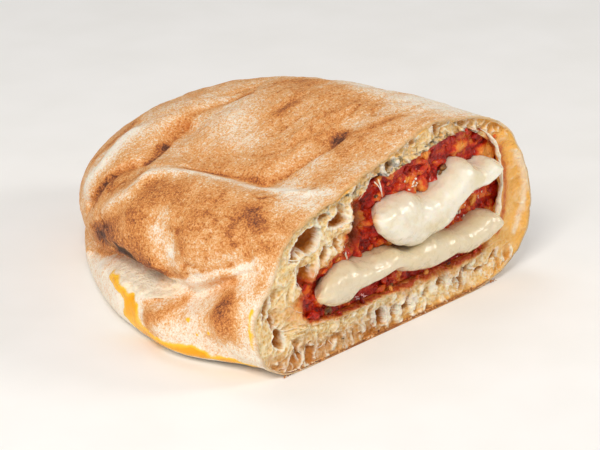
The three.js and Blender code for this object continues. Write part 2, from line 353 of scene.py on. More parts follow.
def pocketRings(depths, count, margin):
    # the mouth's ring at each depth, drawn in by the margin, with a lower roof and a superellipse end
    pocket = fillingPocket
    y = np.asarray(depths, float)[:, None]
    size = superellipse(y / (pocket["length"] - margin), pocket["power"])
    centreX, centreZ = pocket["centre"]
    drop, over = pocket["roofDrop"]
    roof = 1 - drop * smoothStep(y / over)
    ring = smoothCurve(pocket["outline"], count)[None]
    x = ring[..., 0] - centreX + 0 * y
    z = (ring[..., 1] - centreZ) * np.where(ring[..., 1] > centreZ, roof, 1)
    length = np.hypot(x, z)
    scale = (length - margin) / length * size
    return asPoints(centreX + x * scale, y, centreZ + z * scale)


def insetRings(rings, inset):
    # moves each point of each ring inwards in its own plane, at right angles to the ring
    step = np.roll(rings, -1, axis=1) - np.roll(rings, 1, axis=1)
    across = asPoints(step[..., 2], 0, -step[..., 0])
    across /= np.linalg.norm(across, axis=-1, keepdims=True) + 1e-9
    middle = rings.mean(axis=1, keepdims=True)
    across *= np.sign(((middle - rings) * across).sum((-1, -2)))[..., None, None]
    return rings + across * inset


# Paths on the skin, in mm, that are used both for its relief and for its colours.
crustPaths = {
    "upperFold": [
        (-46, 111, 34.9), (-43, 114, 37), (-40.8, 110, 43.8), (-35.9, 109, 48.4), (-22.9, 111.5, 53.5),
    ],
    "lipEdge": [
        (-62.4, 38, 27.6), (-63.3, 31, 31.2), (-62.4, 26, 33.2), (-60.8, 19.7, 36.4), (-59.1, 12.5, 40.6),
        (-58.3, 11, 46.5), (-56.5, 12.5, 50),
    ],
    "lipDent": [(-66.5, 35, 34.5), (-66, 29.5, 37.2), (-64, 23, 39.6), (-61, 17.5, 42.5)],
    "topSpot": [(2.5, 30.5, 66.8), (5, 28.5, 67.8)],
}

# Lines and spots on the skin are 3-D paths, in mm. Grooves and ridges: width, height and path.
crustRelief = {
    "folds": [
        (2.6, -3.2, [(-47.6, 110.5, 31), (-48.8, 101, 41), (-46, 98, 46), (-41.6, 94, 49.4),
            (-36.9, 88.7, 52.3), (-28.9, 92.9, 52.5), (-19.4, 96.9, 54.4), (-9.8, 99, 56.8)]),
        (2.2, -0.7, [(-9.8, 99, 56.8), (-3.3, 98.9, 58.9), (6.4, 96.8, 60.6), (17.7, 92.7, 62.9)]),
        (4.5, 1.3, crustPaths["upperFold"]),
        (3.8, 1.9, [(-53.4, 99.9, 31.8), (-57, 89, 38.9), (-56, 78.2, 47.9), (-52, 77, 50.6),
            (-47.5, 75.8, 53)]),
        (3.4, 2.2, [(-47.5, 75.8, 53), (-43.4, 71, 55.2), (-39.9, 64.4, 56), (-36.4, 57.7, 55.6),
            (-34.8, 48.5, 55.5), (-34.4, 41.7, 55.6), (-32, 33.4, 55.6), (-32.6, 21, 57.8),
            (-29.5, 13.8, 58.8)]),
        (3.2, -3, [(-36, 71, 55.5), (-35.2, 63, 55.1), (-31.7, 59.4, 54.5), (-31, 53, 55.2), (-30, 44, 55.3),
            (-28, 38, 55.6)]),
        (2.2, -1.7, [(-27, 36.5, 55.4), (-16.9, 33.9, 58.6), (-10, 30.9, 62.3), (-4.3, 28.5, 64.9),
            (3.5, 27.9, 67.7)]),
        (1.6, -0.6, [(-12, 43, 61), (-2, 41.5, 65), (8, 38, 68.5)]),
        (1.7, -0.6, [(2, 66, 66), (12, 64, 68), (22, 61, 70)]),
        (1.5, -0.5, [(14, 84, 67), (26, 80, 69), (38, 74, 69)]),
        (1.4, -0.45, [(8, 19, 71), (18, 17, 73), (28, 14, 74)]),
        (1.7, -0.7, [(-50.8, 92.9, 13), (-54, 92, 22), (-57.5, 92, 30)]),
        (4.6, 0.5, [(-63.2, 38.5, 47.5), (-66.5, 38.5, 42), (-67.5, 39.5, 37)]),
        (2.2, 1.5, [(-60.5, 9, 41.5), (-59.2, 9.8, 45.5), (-56.5, 12.6, 49.5)]),
        # the lower dough: two baked knobs, the torn bulges under the lip and the folds between them
        (4.2, 1.3, [(-70, 52, 12.5), (-70, 46, 15.5), (-68, 43.5, 17.5)]),
        (1.2, 1, [(-67.5, 56, 17.6), (-65, 51.6, 20.4), (-62, 45, 22.6)]),
        (5, 1.2, [(-68.5, 16, 27.5), (-70, 13.5, 22.5)]),
        (1.6, -1.2, [(-67, 38.5, 18), (-69.5, 38, 12), (-70.5, 40, 7)]),
        (3.6, 2.6, [(-58, 80, 16.5), (-60.5, 75, 16)]),
        (4.4, 3, [(-61.5, 67, 16.5), (-62.5, 60, 17)]),
        (3, 2, [(-63, 53, 20.5), (-64, 47, 22)]),
        (1.5, -1.3, [(-60.5, 71.5, 19), (-63.5, 71, 13)]),
        (1.4, -1.2, [(-62, 56.5, 21), (-66, 56.5, 15)]),
        (1.6, -1.5, [(-64, 73, 12), (-67.5, 58, 12.5), (-68.5, 54, 15.5), (-66, 44, 22)]),
        (1.7, 1.3, crustPaths["lipEdge"]),
        (2.4, 1.8, [(-54, 96, 19), (-56.5, 84, 25), (-60, 71, 27.5), (-62.5, 60, 28.5), (-63.5, 53, 30)]),
        (2.4, 3.4, [(-44.5, 117, 9.5)]),
    ],
    "dents": [
        (6.4, -1.1, [(-62, 57, 47.5), (-65.2, 53, 41.5), (-65.5, 48.5, 37.5)]),
        (4.4, -1.7, crustPaths["lipDent"]),
        (2.6, -1.6, [(-59.5, 12.5, 44), (-58, 12, 47.5)]),
    ],
    "seam": (1.9, -3.4, [(-44, 116, 9), (-47.5, 110.4, 9.6), (-52.6, 97.2, 14.3), (-53, 89.6, 17.7),
        (-53.5, 82.9, 20.5), (-57, 70.4, 21.6), (-58, 60.9, 22.3), (-58.9, 52.6, 23.6)]),
    "waves": [(26, 0.9, 11), (9, 0.4, 23), (3.6, 0.16, 31)],  # size, height and seed of each layer of noise
    "wrinkles": -0.75,
    "blisters": {"count": 190, "radius": (1.2, 4.5), "height": (0.12, 0.6), "along": (4, 146), "seed": 5},
    "torn": (1.7, 3.6),  # height and size of the lumps in torn dough
    "leak": 0.55,  # thickness of the cheese oil that ran out
}

# Bake from 0, pale, to 1, dark: strength, radius and path of each spot or streak.
crustPaint = {
    "bake": [
        (0.14, 6, [(-60, 84, 34), (-65.7, 70.3, 33.3), (-65.4, 60, 31)]),
        (0.22, 7, [(-56, 92, 30), (-58.7, 89.3, 32.4), (-62, 78, 34)]),
        (0.24, 6, [(-47, 107.5, 18.2), (-52, 99, 24), (-56, 92, 26)]),
        (0.3, 4, [(-54, 84, 24), (-58, 70, 26), (-61, 60, 27), (-63, 52, 28)]),
        (0.2, 6, [(-50, 70, 52), (-57, 64, 49), (-62, 66, 42)]),
        (-0.26, 5.2, [(-62, 57, 48), (-65.2, 53, 41.5), (-65.5, 47, 37)]),
        (-0.2, 3.4, [(-65.4, 46, 36), (-66.2, 42, 34)]),
        (0.14, 5, [(-65.5, 40, 42), (-60, 38, 51)]),
        (-0.18, 4.2, crustPaths["lipDent"]),
        (-0.14, 1.5, crustPaths["lipEdge"]),
        (0.22, 1.8, [(-63.5, 21, 46), (-61.5, 17, 48)]),
        (0.22, 4.2, [(-53.2, 14.1, 53), (-52, 17.5, 54)]),
        (0.14, 7, [(-48.7, 21.5, 56)]),
        (0.3, 2.4, [(-47.6, 110.5, 31), (-48.8, 101, 41), (-41.6, 94, 49.4)]),
        (0.42, 2.2, [(-38.5, 90.5, 51.3), (-36.9, 88.7, 52.3), (-28.9, 92.9, 52.5), (-24, 95, 53.4)]),
        (0.24, 2.2, [(-24, 95, 53.4), (-19.4, 96.9, 54.4), (-3.3, 98.9, 58.9), (17.7, 92.7, 62.9)]),
        (-0.3, 4.6, crustPaths["upperFold"]),
        (0.28, 2.6, [(-30.8, 124.9, 41.3), (-27.3, 122.3, 46.2), (-22.5, 120.2, 49.9), (-12.9, 122.5, 51.7)]),
        (-0.3, 3.8, [(-53.4, 99.9, 31.8), (-57, 89, 38.9), (-56, 78.2, 47.9), (-47.5, 75.8, 53),
            (-39.9, 64.4, 56), (-34.8, 48.5, 55.5), (-32, 33.4, 55.6), (-30, 18, 58), (-28, 6, 59)]),
        (0.34, 1.8, [(-38, 70, 55.5), (-34.2, 63, 55.1), (-30.7, 58, 54.5), (-29, 50, 55.3),
            (-27, 40, 55.6)]),
        (0.12, 8, [(-26, 62, 56), (-20, 48, 58)]),
        (0.22, 2, [(-27, 36.5, 55.4), (-16.9, 33.9, 58.6), (-4.3, 28.5, 64.9), (3.5, 27.9, 67.7)]),
        (0.3, 3, crustPaths["topSpot"]),
        (0.16, 8, [(0, 26, 67), (6, 22, 69)]),
        (0.16, 8, [(-22, 15, 60), (-12, 18, 64), (0, 16, 68)]),
        (-0.14, 5, [(-35.6, 18, 58.3), (-36.6, 11.7, 58.6), (-36.8, 4, 58.7)]),
        (0.26, 3.6, [(7.4, 62.1, 66.5), (12, 61, 67.6)]),
        (0.12, 8, [(26.8, 49.6, 71.8)]),
        (0.16, 4, [(2, 66, 66), (22, 61, 70)]),
        (0.14, 5, [(24, 82, 68), (34, 78, 69)]),
        (0.2, 1.8, [(11.3, 17.9, 71.7), (22, 15, 73)]),
        (0.28, 1.1, [(-42.8, 23.5, 57.9), (-40, 22, 58.2)]),
        (0.46, 4.8, [(-70.5, 53, 12), (-71.4, 46, 15), (-69, 43, 17.5)]),
        (0.2, 3, [(-68, 56, 15.6), (-66, 52, 18.6), (-62.6, 47.8, 20.6)]),
        (0.16, 2.6, [(-73, 52, 7), (-72, 47, 8)]),
        (0.43, 8, [(-70, 15, 27), (-72, 12, 22)]),
        (0.24, 4, [(-64.5, 22, 33), (-67, 19, 30)]),
        (0.18, 4, [(-64, 40, 24), (-65.5, 33, 27), (-65.5, 27, 29.5), (-64.5, 21, 33)]),
        (0.3, 3.6, [(-62, 5, 34), (-61.5, 5, 40), (-59, 4, 48)]),
        (0.26, 2.6, [(72, 1, 55), (76, 1, 48)]),
        (0.3, 2.2, [(79, 1, 38), (79.5, 1, 33)]),
        (0.2, 2, [(78, 1, 24), (77, 1, 20)]),
    ],
    "char": [
        (0.9, 2.6, [(-62.4, 76, 29), (-63.6, 71, 29.6), (-62.2, 67.8, 27.9), (-60, 65.3, 25.4),
            (-57.8, 61.1, 22.8)]),
        (0.6, 3.2, [(-56, 94, 29), (-58.3, 88.3, 27.5), (-59, 84, 27), (-61.5, 78, 28.4)]),
        (0.5, 2.2, [(-43.5, 114, 15), (-46.5, 110, 17)]),
        (0.3, 3.4, [(-60, 76, 28), (-61, 70, 28.5)]),
        (0.36, 1.7, crustPaths["topSpot"]),
        (0.14, 1.8, [(-53.2, 14.1, 53)]),
        (0.42, 1.2, [(-36, 89.5, 52.3), (-28.9, 92.9, 52.5)]),
        (0.24, 1.6, [(7.4, 62.1, 66.5)]),
        (0.8, 1.6, [(44, 0.5, 0.8), (49, 0.5, 1.2)]),
    ],
    "raw": [
        (1.7, 3.6, [(-56, 83, 17.5), (-59.9, 67.3, 18), (-61, 56.5, 19.6), (-62, 49, 21.5)]),
        (1.6, 3, [(-63, 71, 15.5), (-64.5, 62, 16), (-64, 55, 18)]),
    ],
    "oil": [
        (1, 2.6, [(-60.5, 82, 16.8), (-63.9, 75, 15), (-66.9, 67.7, 12.8), (-68.2, 62.7, 12.4)]),
        (1.1, 4.4, [(-67, 65.5, 9), (-67.4, 60, 6), (-68.5, 54, 3.5)]),
        (1.1, 2.3, [(-70, 52, 4), (-72.2, 46.4, 4.4), (-72.3, 38.3, 4.6), (-70.8, 31.8, 4.6),
            (-68, 23.5, 3.6), (-64.5, 13, 2.4), (-60, 3, 1.8)]),
        (0.9, 2.2, [(-71, 30, 6.6), (-69.5, 26, 6)]),
        (0.8, 2.6, [(-66, 17, 3.6), (-63, 9, 3)]),
        (1, 1.25, [(-70, 32.3, 17.6)]),
        (0.9, 0.8, [(-70.5, 27.2, 13.7)]),
        (0.75, 1, [(-70.3, 21.3, 16.3)]),
        (0.85, 1.5, [(-66.4, 3, 29), (-68, 1.8, 21), (-66.5, 1.8, 13.5)]),
        (0.6, 1.3, [(-67.5, 4, 10), (-66, 3, 8)]),
    ],
    "spots": {"count": 130, "along": (6, 148), "radius": (1.2, 4.5), "strength": (0.05, 0.26), "seed": 12},
}

# Height of the seam over the base at each distance from the cut: the dough below it stayed pale.
seamHeights = [
    (0, 47), (8, 46), (12.4, 42), (16.9, 39.6), (24.5, 37), (32, 33.6), (40.9, 29), (49, 25.5), (60.9, 22.5),
    (70.4, 21.8), (82.9, 20.7), (89.6, 18), (97.2, 14.5), (110.4, 9.5), (125, 8), (150, 8),
]

crustMesh = {
    "rows": 215,
    "columns": 420,
    "inset": 0.9,
    "recess": (0.6, 1.8, 3, 4.5, 6, 8, 10, 12, 14),
    "pocketDepths": (14, 30, 50, 70, 90, 108, 120, 127),
}


def raggedCut(points):
    # how far the torn edge of the cut stands back or forward at each place of its outline
    near = smoothStep((20 - points[..., 0]) / 40)
    return (0.3 + 0.4 * near) * fractalNoise(points[..., [0, 2]], 6, 3, 19) * smoothStep(points[..., 2] / 3)


def wrinkles(points):
    # 1 along thin crooked lines where a stretched noise crosses zero, 0 elsewhere, and only in patches
    stretched = points * np.array([0.42, 1.0, 0.8]) + points[..., [1]] * np.array([0.2, 0, 0])
    patches = smoothStep(0.5 + 1.6 * fractalNoise(points, 24, 1, 137))
    return bell(np.abs(fractalNoise(stretched, 8, 3, 131)), 0.13) * patches


def ovalDistance(points, centre, squash):
    # the distance from a place, with what lies across the body counted less
    x, y, z = np.moveaxis(points - centre, -1, 0)
    return np.hypot(y, squash * np.hypot(x, z))


def paintedMask(points, name):
    # the sum of each path's bell times its strength, with the distance made uneven by noise
    uneven = 1 + 0.35 * fractalNoise(points, 5, 2, 61)
    strokes = crustPaint[name]
    return sum(s * bell(distanceToPath(points, path) * uneven, radius) for s, radius, path in strokes)


def crustDetail(points):
    # folds, dents, seam, waves of noise, wrinkles and blisters added up, in mm outwards
    relief = crustRelief
    height = np.zeros(points.shape[:-1])
    warped = points + 0.9 * asPoints(*(valueNoise(points, 6, 40 + k) for k in range(3)))
    for width, rise, path in relief["folds"] + [relief["seam"]]:
        height += rise * bell(distanceToPath(warped, path), width)
    for width, rise, path in relief["dents"]:
        height += rise * np.exp(-((distanceToPath(warped, path) / width) ** 2.4))
    for size, rise, seed in relief["waves"]:
        height += rise * fractalNoise(points, size, 2, seed)
    height += wrinkles(points) * relief["wrinkles"]
    blisters = relief["blisters"]
    count, rng = blisters["count"], np.random.default_rng(blisters["seed"])
    turn = rng.uniform(0, 2 * np.pi, count)
    radius, rise = rng.uniform(*blisters["radius"], count), rng.uniform(*blisters["height"], count)
    centres = placesRound(turn, rng.uniform(*blisters["along"], count), 0)
    for centre, r, h in zip(centres, radius, rise):
        height += h * bell(ovalDistance(points, centre, 0.55), r)
    tornHeight, tornSize = relief["torn"]
    raw = np.clip(paintedMask(points, "raw"), 0, 1)
    torn = raw * tornHeight * (fractalNoise(points, tornSize, 2, 77) - 0.2)
    leak = relief["leak"] * smoothStep((paintedMask(points, "oil") - 0.3) / 0.4)
    return height * smoothStep((points[..., 2] - 4) / 6) + torn + leak


def withDetail(points):
    # moves formed skin by its detail, never below the base
    points = movedOutwards(points, crustDetail(points) * smoothStep(points[..., 2] / 5))
    points[..., 2] = np.maximum(points[..., 2], 0)
    return points


def crustSkin(depths, count):
    # the finished skin's rings at the given distances from the cut
    return withDetail(formedSkin(plainSkin(skinShare(np.asarray(depths, float)), count)))


def crustMasks(points, station):
    # bake by place on the body, plus mottling, seeded spots, painted spots and wrinkles
    x, y, z = np.moveaxis(points, -1, 0)
    seamY, seamZ = np.array(seamHeights).T
    aboveSeam = z - np.interp(y, seamY, seamZ) + 0.8 * fractalNoise(points, 7, 2, 15)
    lower = smoothStep(0.5 - aboveSeam / 2.4) * smoothStep((-30 - x) / 12)
    column = smoothStep((7 - y) / 5) * smoothStep((z - 6) / 10) * smoothStep((56 - z) / 8)
    column *= smoothStep((-48 - x) / 8)  # the pale stretch of the edge beside the cut
    left, right = calzoneBody["baseStations"]
    under = np.maximum(smoothStep((left - station) / 0.5), smoothStep((station - right) / 0.5))
    lip = (1 - lower) * (1 - column) * smoothStep((-42 - x) / 10) * smoothStep((z - 8) / 6)
    fold = smoothStep((station - calzoneBody["foldStation"]) / 1.2) * (1 - under)
    floury = smoothStep((x - 14) / 34) * smoothStep((84 - y) / 40) * (0.35 + 0.65 * smoothStep((z - 36) / 24))
    bake = 0.38 - 0.25 * lower + 0.22 * under + 0.13 * lip - 0.1 * fold - 0.2 * column * (1 - lower)
    bake += 0.06 * lower * smoothStep((34 - y) / 20)
    bake -= 0.26 * floury * (1 - under)
    bake += 0.1 * smoothStep((y - 104) / 36)
    bake += 0.09 * fractalNoise(points, 24, 2, 3)
    bake += 0.06 * fractalNoise(points * np.array([0.6, 1, 1]), 7, 2, 9)
    spots = crustPaint["spots"]
    count, rng = spots["count"], np.random.default_rng(spots["seed"])
    turn, along = rng.uniform(0, 2 * np.pi, count), rng.uniform(*spots["along"], count)
    radius, strength = rng.uniform(*spots["radius"], count), rng.uniform(*spots["strength"], count)
    spotted = np.zeros(x.shape)
    for centre, r, s in zip(placesRound(turn, along, 2), radius, strength):
        spotted += s * bell(ovalDistance(points, centre, 0.45), r)
    bake += spotted * (1 - lower) * (1 - 0.6 * lip) + paintedMask(points, "bake")
    bake += (0.2 * wrinkles(points) + 0.06 * smoothStep(1 - np.abs(y) / 3)) * (1 - lower)
    raw = np.clip(paintedMask(points, "raw"), 0, 1)
    return {
        "bake": bake,
        "char": paintedMask(points, "char"),
        "raw": raw,
        "oil": paintedMask(points, "oil") * (1 - under),
        "cut": bell(y, 0.9) * (1 - 0.7 * under),
        "smooth": np.clip(lower + column, 0, 1) * (1 - raw),
    }


def linearColour(code):
    # sRGB hex to linear: each channel over 12.92, or the 2.4th power above the toe
    channels = np.array([int(code[k : k + 2], 16) for k in (1, 3, 5)]) / 255
    linear = np.where(channels <= 0.04045, channels / 12.92, ((channels + 0.055) / 1.055) ** 2.4)
    return (*linear.tolist(), 1.0)


def addNode(tree, kind, inputs=None, stops=None, output=0, **settings):
    # one node with its settings, then its inputs: a socket is linked, a hex colour or a number is set
    node = tree.nodes.new(kind)
    for name, value in settings.items():
        setattr(node, name, value)
    for name, value in (inputs or {}).items():
        socket = node.inputs[name]
        if isinstance(value, bpy.types.NodeSocket):
            tree.links.new(value, socket)
        else:
            socket.default_value = linearColour(value) if isinstance(value, str) else value
    for k, (position, code) in enumerate(stops or []):
        marks = node.color_ramp.elements
        mark = marks[k] if k < 2 else marks.new(position)
        mark.position, mark.color = position, linearColour(code)
    return node.outputs[output] if node.outputs else node


def makeFinish(finish):
    # a colour ramp over one weighed sum of masks and noises, then layers of colour, each let through by its
    # own sum; every noise counts from its middle, a sum starts at its base, a scale is one over the size
    material = bpy.data.materials.new(finish["name"])
    material.use_nodes = True
    tree = material.node_tree
    tree.nodes.clear()
    place = addNode(tree, "ShaderNodeTexCoord", output="Object")
    values, middles, extras = {}, {}, ("Detail", "Roughness")
    for name in finish.get("masks", []):
        values[name] = addNode(tree, "ShaderNodeAttribute", output="Fac", attribute_name=name)
    for name, (size, *detail) in finish["noises"].items():
        inputs = {"Vector": place, "Scale": 1 / (size * millimetre), **dict(zip(extras, detail))}
        values[name] = addNode(tree, "ShaderNodeTexNoise" if detail else "ShaderNodeTexVoronoi", inputs)
        middles[name] = 0.5 if detail else 0.45
    for name, weights in finish["sums"].items():
        middle = sum(weight * middles.get(part, 0) for part, weight in weights.items())
        total = finish.get("base", {}).get(name, 0) - middle
        for part, weight in weights.items():
            inputs = {0: values[part], 1: weight, 2: total}
            total = addNode(tree, "ShaderNodeMath", inputs, operation="MULTIPLY_ADD")
        values[name] = total
    colour = addNode(tree, "ShaderNodeValToRGB", {"Fac": values["tone"]}, stops=finish["tone"])
    for name, low, high, most, code in finish.get("layers", []):
        inputs = {"Value": values[name], "From Min": low, "From Max": high, "To Max": most}
        inputs = {0: addNode(tree, "ShaderNodeMapRange", inputs), 6: colour, 7: code}
        colour = addNode(tree, "ShaderNodeMix", inputs, output=2, data_type="RGBA")
    for socket, (name, low, high, atLow, atHigh) in finish.get("ranges", {}).items():
        inputs = {"Value": values[name], "From Min": low, "From Max": high, "To Min": atLow, "To Max": atHigh}
        values[socket] = addNode(tree, "ShaderNodeMapRange", inputs)
    shader = {"Base Color": colour, **finish["shader"]}
    if "Roughness" in values:
        shader["Roughness"] = values["Roughness"]
    inputs = {"Height": values["height"], "Strength": values.get("Bump", 1)}
    inputs["Distance"] = finish["relief"] * millimetre
    shader["Normal"] = addNode(tree, "ShaderNodeBump", inputs)
    surface = addNode(tree, "ShaderNodeBsdfPrincipled", shader)
    addNode(tree, "ShaderNodeOutputMaterial", {"Surface": surface})
    return material


# Each finish: noises as size in mm, detail and roughness, or only the size for a pattern of cells; sums as
# weights; "tone" as stops of the ramp; layers as sum, from, to, most and colour; ranges as sum, from, to and
# the values there; relief in mm.

# Baked pizza dough, browned dry in a hot oven: matt, speckled at the millimetre, pale where flour lies or
# where it was folded away from the heat, dark where it blistered, and wet yellow where cheese oil ran out.
crustFinish = makeFinish({
    "name": "oven-baked dough crust",
    "masks": ["bake", "char", "raw", "oil", "cut", "smooth"],
    "noises": {
        "mottle": (11, 4, 0.55), "speck": (2.8, 4, 0.6), "grain": (1.1, 2, 0.6), "fine": (0.6, 1, 0.5),
    },
    "sums": {
        "tone": {"bake": 1, "mottle": 0.18, "speck": 0.36, "grain": 0.52, "fine": 0.7},
        "charred": {"char": 1, "speck": 0.8, "grain": 0.5},
        "torn": {"raw": 1, "speck": 0.4},
        "tornShade": {"raw": 1, "speck": 2.2},
        "leak": {"oil": 1, "speck": 0.6},
        "height": {"speck": 1.6, "grain": 0.8, "fine": 0.35},
    },
    "tone": [
        (0, "#F9F0DF"), (1, "#5A3423"), (0.1, "#F5E9D8"), (0.24, "#F0D5B6"), (0.38, "#E7B37D"),
        (0.5, "#DF9D5C"), (0.62, "#CE8442"), (0.76, "#AD6534"), (0.88, "#834B2F"),
    ],
    "layers": [
        ("cut", 0.2, 1, 0.7, "#E6BC86"),
        ("charred", 0.3, 0.9, 0.95, "#38221A"),
        ("torn", 0.3, 0.8, 0.85, "#FBEDD3"),
        # painted shade in patches of the torn dough, standing for the hollows between its lumps
        ("tornShade", 1, 1.4, 0.45, "#DDB88A"),
        ("leak", 0.36, 0.6, 1, "#FFC637"),
        ("leak", 0.7, 1.1, 1, "#F8AC12"),
    ],
    "ranges": {"Roughness": ("leak", 0.4, 0.6, 0.66, 0.22), "Bump": ("smooth", 0.2, 0.9, 1, 0.45)},
    "relief": 0.55,
    "shader": {
        "IOR": 1.45, "Specular IOR Level": 0.35, "Subsurface Weight": 0.1,
        "Subsurface Radius": (1, 0.45, 0.2), "Subsurface Scale": 0.002,
    },
})

# Soft baked crumb, torn and cut: a starch foam that light enters, a painted highlight on the crests between
# pores, painted shade in the pores and towards the bottom left, orange where oil soaked in, and a little wet.
crumbFinish = makeFinish({
    "name": "soft bread crumb",
    "masks": ["depth", "soak", "edge", "pale", "brown"],
    "noises": {"speck": (1.8, 4, 0.65), "wide": (8, 3, 0.5), "fine": (0.8, 3, 0.7), "pores": (1.3,)},
    "sums": {
        # the pale mask, partly a painted highlight on the crests, also lifts the tone
        "tone": {"speck": 1, "pores": 0.5, "pale": 0.15},
        "warm": {"edge": 1, "wide": 0.6},
        "poreShade": {"depth": 1, "pores": -0.25},
        "soaked": {"soak": 1, "speck": 0.8},
        "height": {"pores": 1.3, "fine": 0.7, "speck": 0.8},
    },
    "base": {"tone": 0.3},
    "tone": [(0, "#D8A455"), (1, "#FFF5DC"), (0.2, "#E8C27E"), (0.45, "#F5DEB0")],
    "layers": [
        ("warm", 0.05, 1, 0.9, "#F5B552"),
        # painted shade in the pores and towards the bottom left of the cut
        ("poreShade", 0.08, 0.8, 0.92, "#BC6E12"),
        # painted highlight on the crests between pores, with the paler dough by the right wall and the
        # membrane
        ("pale", 0.1, 0.75, 0.78, "#FFF7E6"),
        ("soaked", 0.15, 0.7, 0.9, "#E08C34"),
        ("soaked", 0.6, 1.05, 0.9, "#BC4119"),
        ("brown", 0.1, 0.8, 1, "#9C5C2A"),
    ],
    "ranges": {"Roughness": ("soaked", 0.2, 0.9, 0.5, 0.3)},
    "relief": 0.36,
    "shader": {
        "IOR": 1.42, "Specular IOR Level": 0.45, "Subsurface Weight": 0.25,
        "Subsurface Radius": (1, 0.6, 0.26), "Subsurface Scale": 0.0015,
    },
})

# Stretched gluten: torn wet dough drawn into threads, almost white and shiny.
threadFinish = makeFinish({
    "name": "stretched dough threads",
    "noises": {"wide": (3, 2, 0.5)},
    "sums": {"tone": {"wide": 1}, "height": {"wide": 1}},
    "base": {"tone": 0.2},
    "tone": [(0, "#F2E0BE"), (0.4, "#FFF9EC")],
    "relief": 0.1,
    "shader": {
        "Roughness": 0.3, "IOR": 1.42, "Subsurface Weight": 0.4, "Subsurface Radius": (1, 0.7, 0.4),
        "Subsurface Scale": 0.0012,
    },
})

# Crushed cooked tomato: wet pulp with a clear red juice, so a sharp gloss over soft red, orange on high bits.
tomatoFinish = makeFinish({
    "name": "crushed cooked tomato",
    "masks": ["pulp", "cave"],
    "noises": {"wide": (6, 3, 0.55), "fine": (1.4, 4, 0.6), "seed": (0.7, 2, 0.5)},
    "sums": {
        "tone": {"pulp": 1, "wide": 0.9, "fine": 0.8},
        "caveShade": {"cave": 1, "fine": 0.5},
        "height": {"fine": 1.2, "seed": 0.8},
    },
    "tone": [
        (0, "#420C04"), (1, "#F8A244"), (0.22, "#8A1004"), (0.44, "#C01C05"), (0.6, "#D63C0C"),
        (0.78, "#EC7420"),
    ],
    # painted shade: brown over the empty corner beside the upper cheese
    "layers": [("caveShade", 0.15, 0.7, 0.9, "#8E4A18")],
    "relief": 0.5,
    "shader": {
        "Roughness": 0.3, "IOR": 1.38, "Specular IOR Level": 0.4, "Coat Weight": 0.35, "Coat Roughness": 0.03,
        "Subsurface Weight": 0.15, "Subsurface Radius": (1, 0.22, 0.08), "Subsurface Scale": 0.002,
    },
})

# Melted mozzarella: milk protein and fat, smooth and wet. Light goes deep, so it glows cream; painted shade
# greys its rims and all of the lower layer, and it is golden where tomato oil touched it.
mozzarellaFinish = makeFinish({
    "name": "melted mozzarella",
    "masks": ["stain", "paintedCheeseShade"],
    "noises": {"wide": (9, 2, 0.5), "ripple": (4, 2, 0.5), "fine": (1.2, 1, 0.5)},
    "sums": {
        "tone": {"wide": 1.3, "ripple": 0.4},
        "cheeseShadeLayer": {"paintedCheeseShade": 1, "wide": 0.8},
        "stained": {"stain": 1, "wide": 0.5},
        "gloss": {"ripple": 1, "fine": 0.6},
        "height": {"ripple": 1, "fine": 0.05},
    },
    "base": {"tone": 0.4},
    "tone": [(0, "#E0D2AE"), (0.8, "#F8F4E9"), (0.4, "#EFE8D6")],
    "layers": [("cheeseShadeLayer", 0.1, 1.2, 0.75, "#D2BD94"), ("stained", 0.1, 1, 0.9, "#D3903F")],
    "ranges": {"Roughness": ("gloss", -0.25, 0.25, 0.18, 0.4)},
    "relief": 0.3,
    "shader": {
        "IOR": 1.4, "Coat Weight": 0.4, "Coat Roughness": 0.13, "Subsurface Weight": 0.7,
        "Subsurface Radius": (1, 0.82, 0.55), "Subsurface Scale": 0.005,
    },
})

# Flecks of dried herb and olive in the filling: dark, dull and leathery.
herbFinish = makeFinish({
    "name": "dried herb and olive",
    "noises": {"wide": (1.2, 3, 0.6)},
    "sums": {"tone": {"wide": 1.2}, "height": {"wide": 1}},
    "base": {"tone": 0.15},
    "tone": [(0, "#54301A"), (0.3, "#9A6428")],
    "relief": 0.3,
    "shader": {"Roughness": 0.35, "IOR": 1.4},
})
print("materials made")


def makeCrust():
    # skin rings from the cut to the tip, closed inside by a recess for the crumb and by the pocket's wall
    rows, columns = crustMesh["rows"], crustMesh["columns"]
    plain = formedSkin(plainSkin(np.arange(rows) / rows, columns))
    skin = withDetail(plain)
    walls = insetRings(crustSkin(crustMesh["recess"], columns), crustMesh["inset"])
    for rings in (skin, walls):
        rings[0, :, 1] += raggedCut(rings[0])
    inner = np.concatenate([walls, pocketRings(crustMesh["pocketDepths"], columns, 0)])[::-1]
    pocketX, pocketZ = fillingPocket["centre"]
    tipX, tipZ = calzoneBody["tip"]
    poles = [[pocketX, fillingPocket["length"], pocketZ], [tipX, calzoneBody["length"], tipZ]]
    points = np.vstack([np.concatenate([inner, skin]).reshape(-1, 3), poles])
    faces = gridFaces(len(inner) + rows, columns, poles=True)
    station = np.arange(columns) / columns * len(calzoneBody["cutOutline"])
    masks = crustMasks(np.concatenate([inner, plain]), station[None])
    masks = {name: np.append(values.ravel(), [0.3, 0.5]) for name, values in masks.items()}
    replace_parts(makePiece("bakedCrust", points, faces, crustFinish, masks), "dough")


makeCrust()
print("crust made")


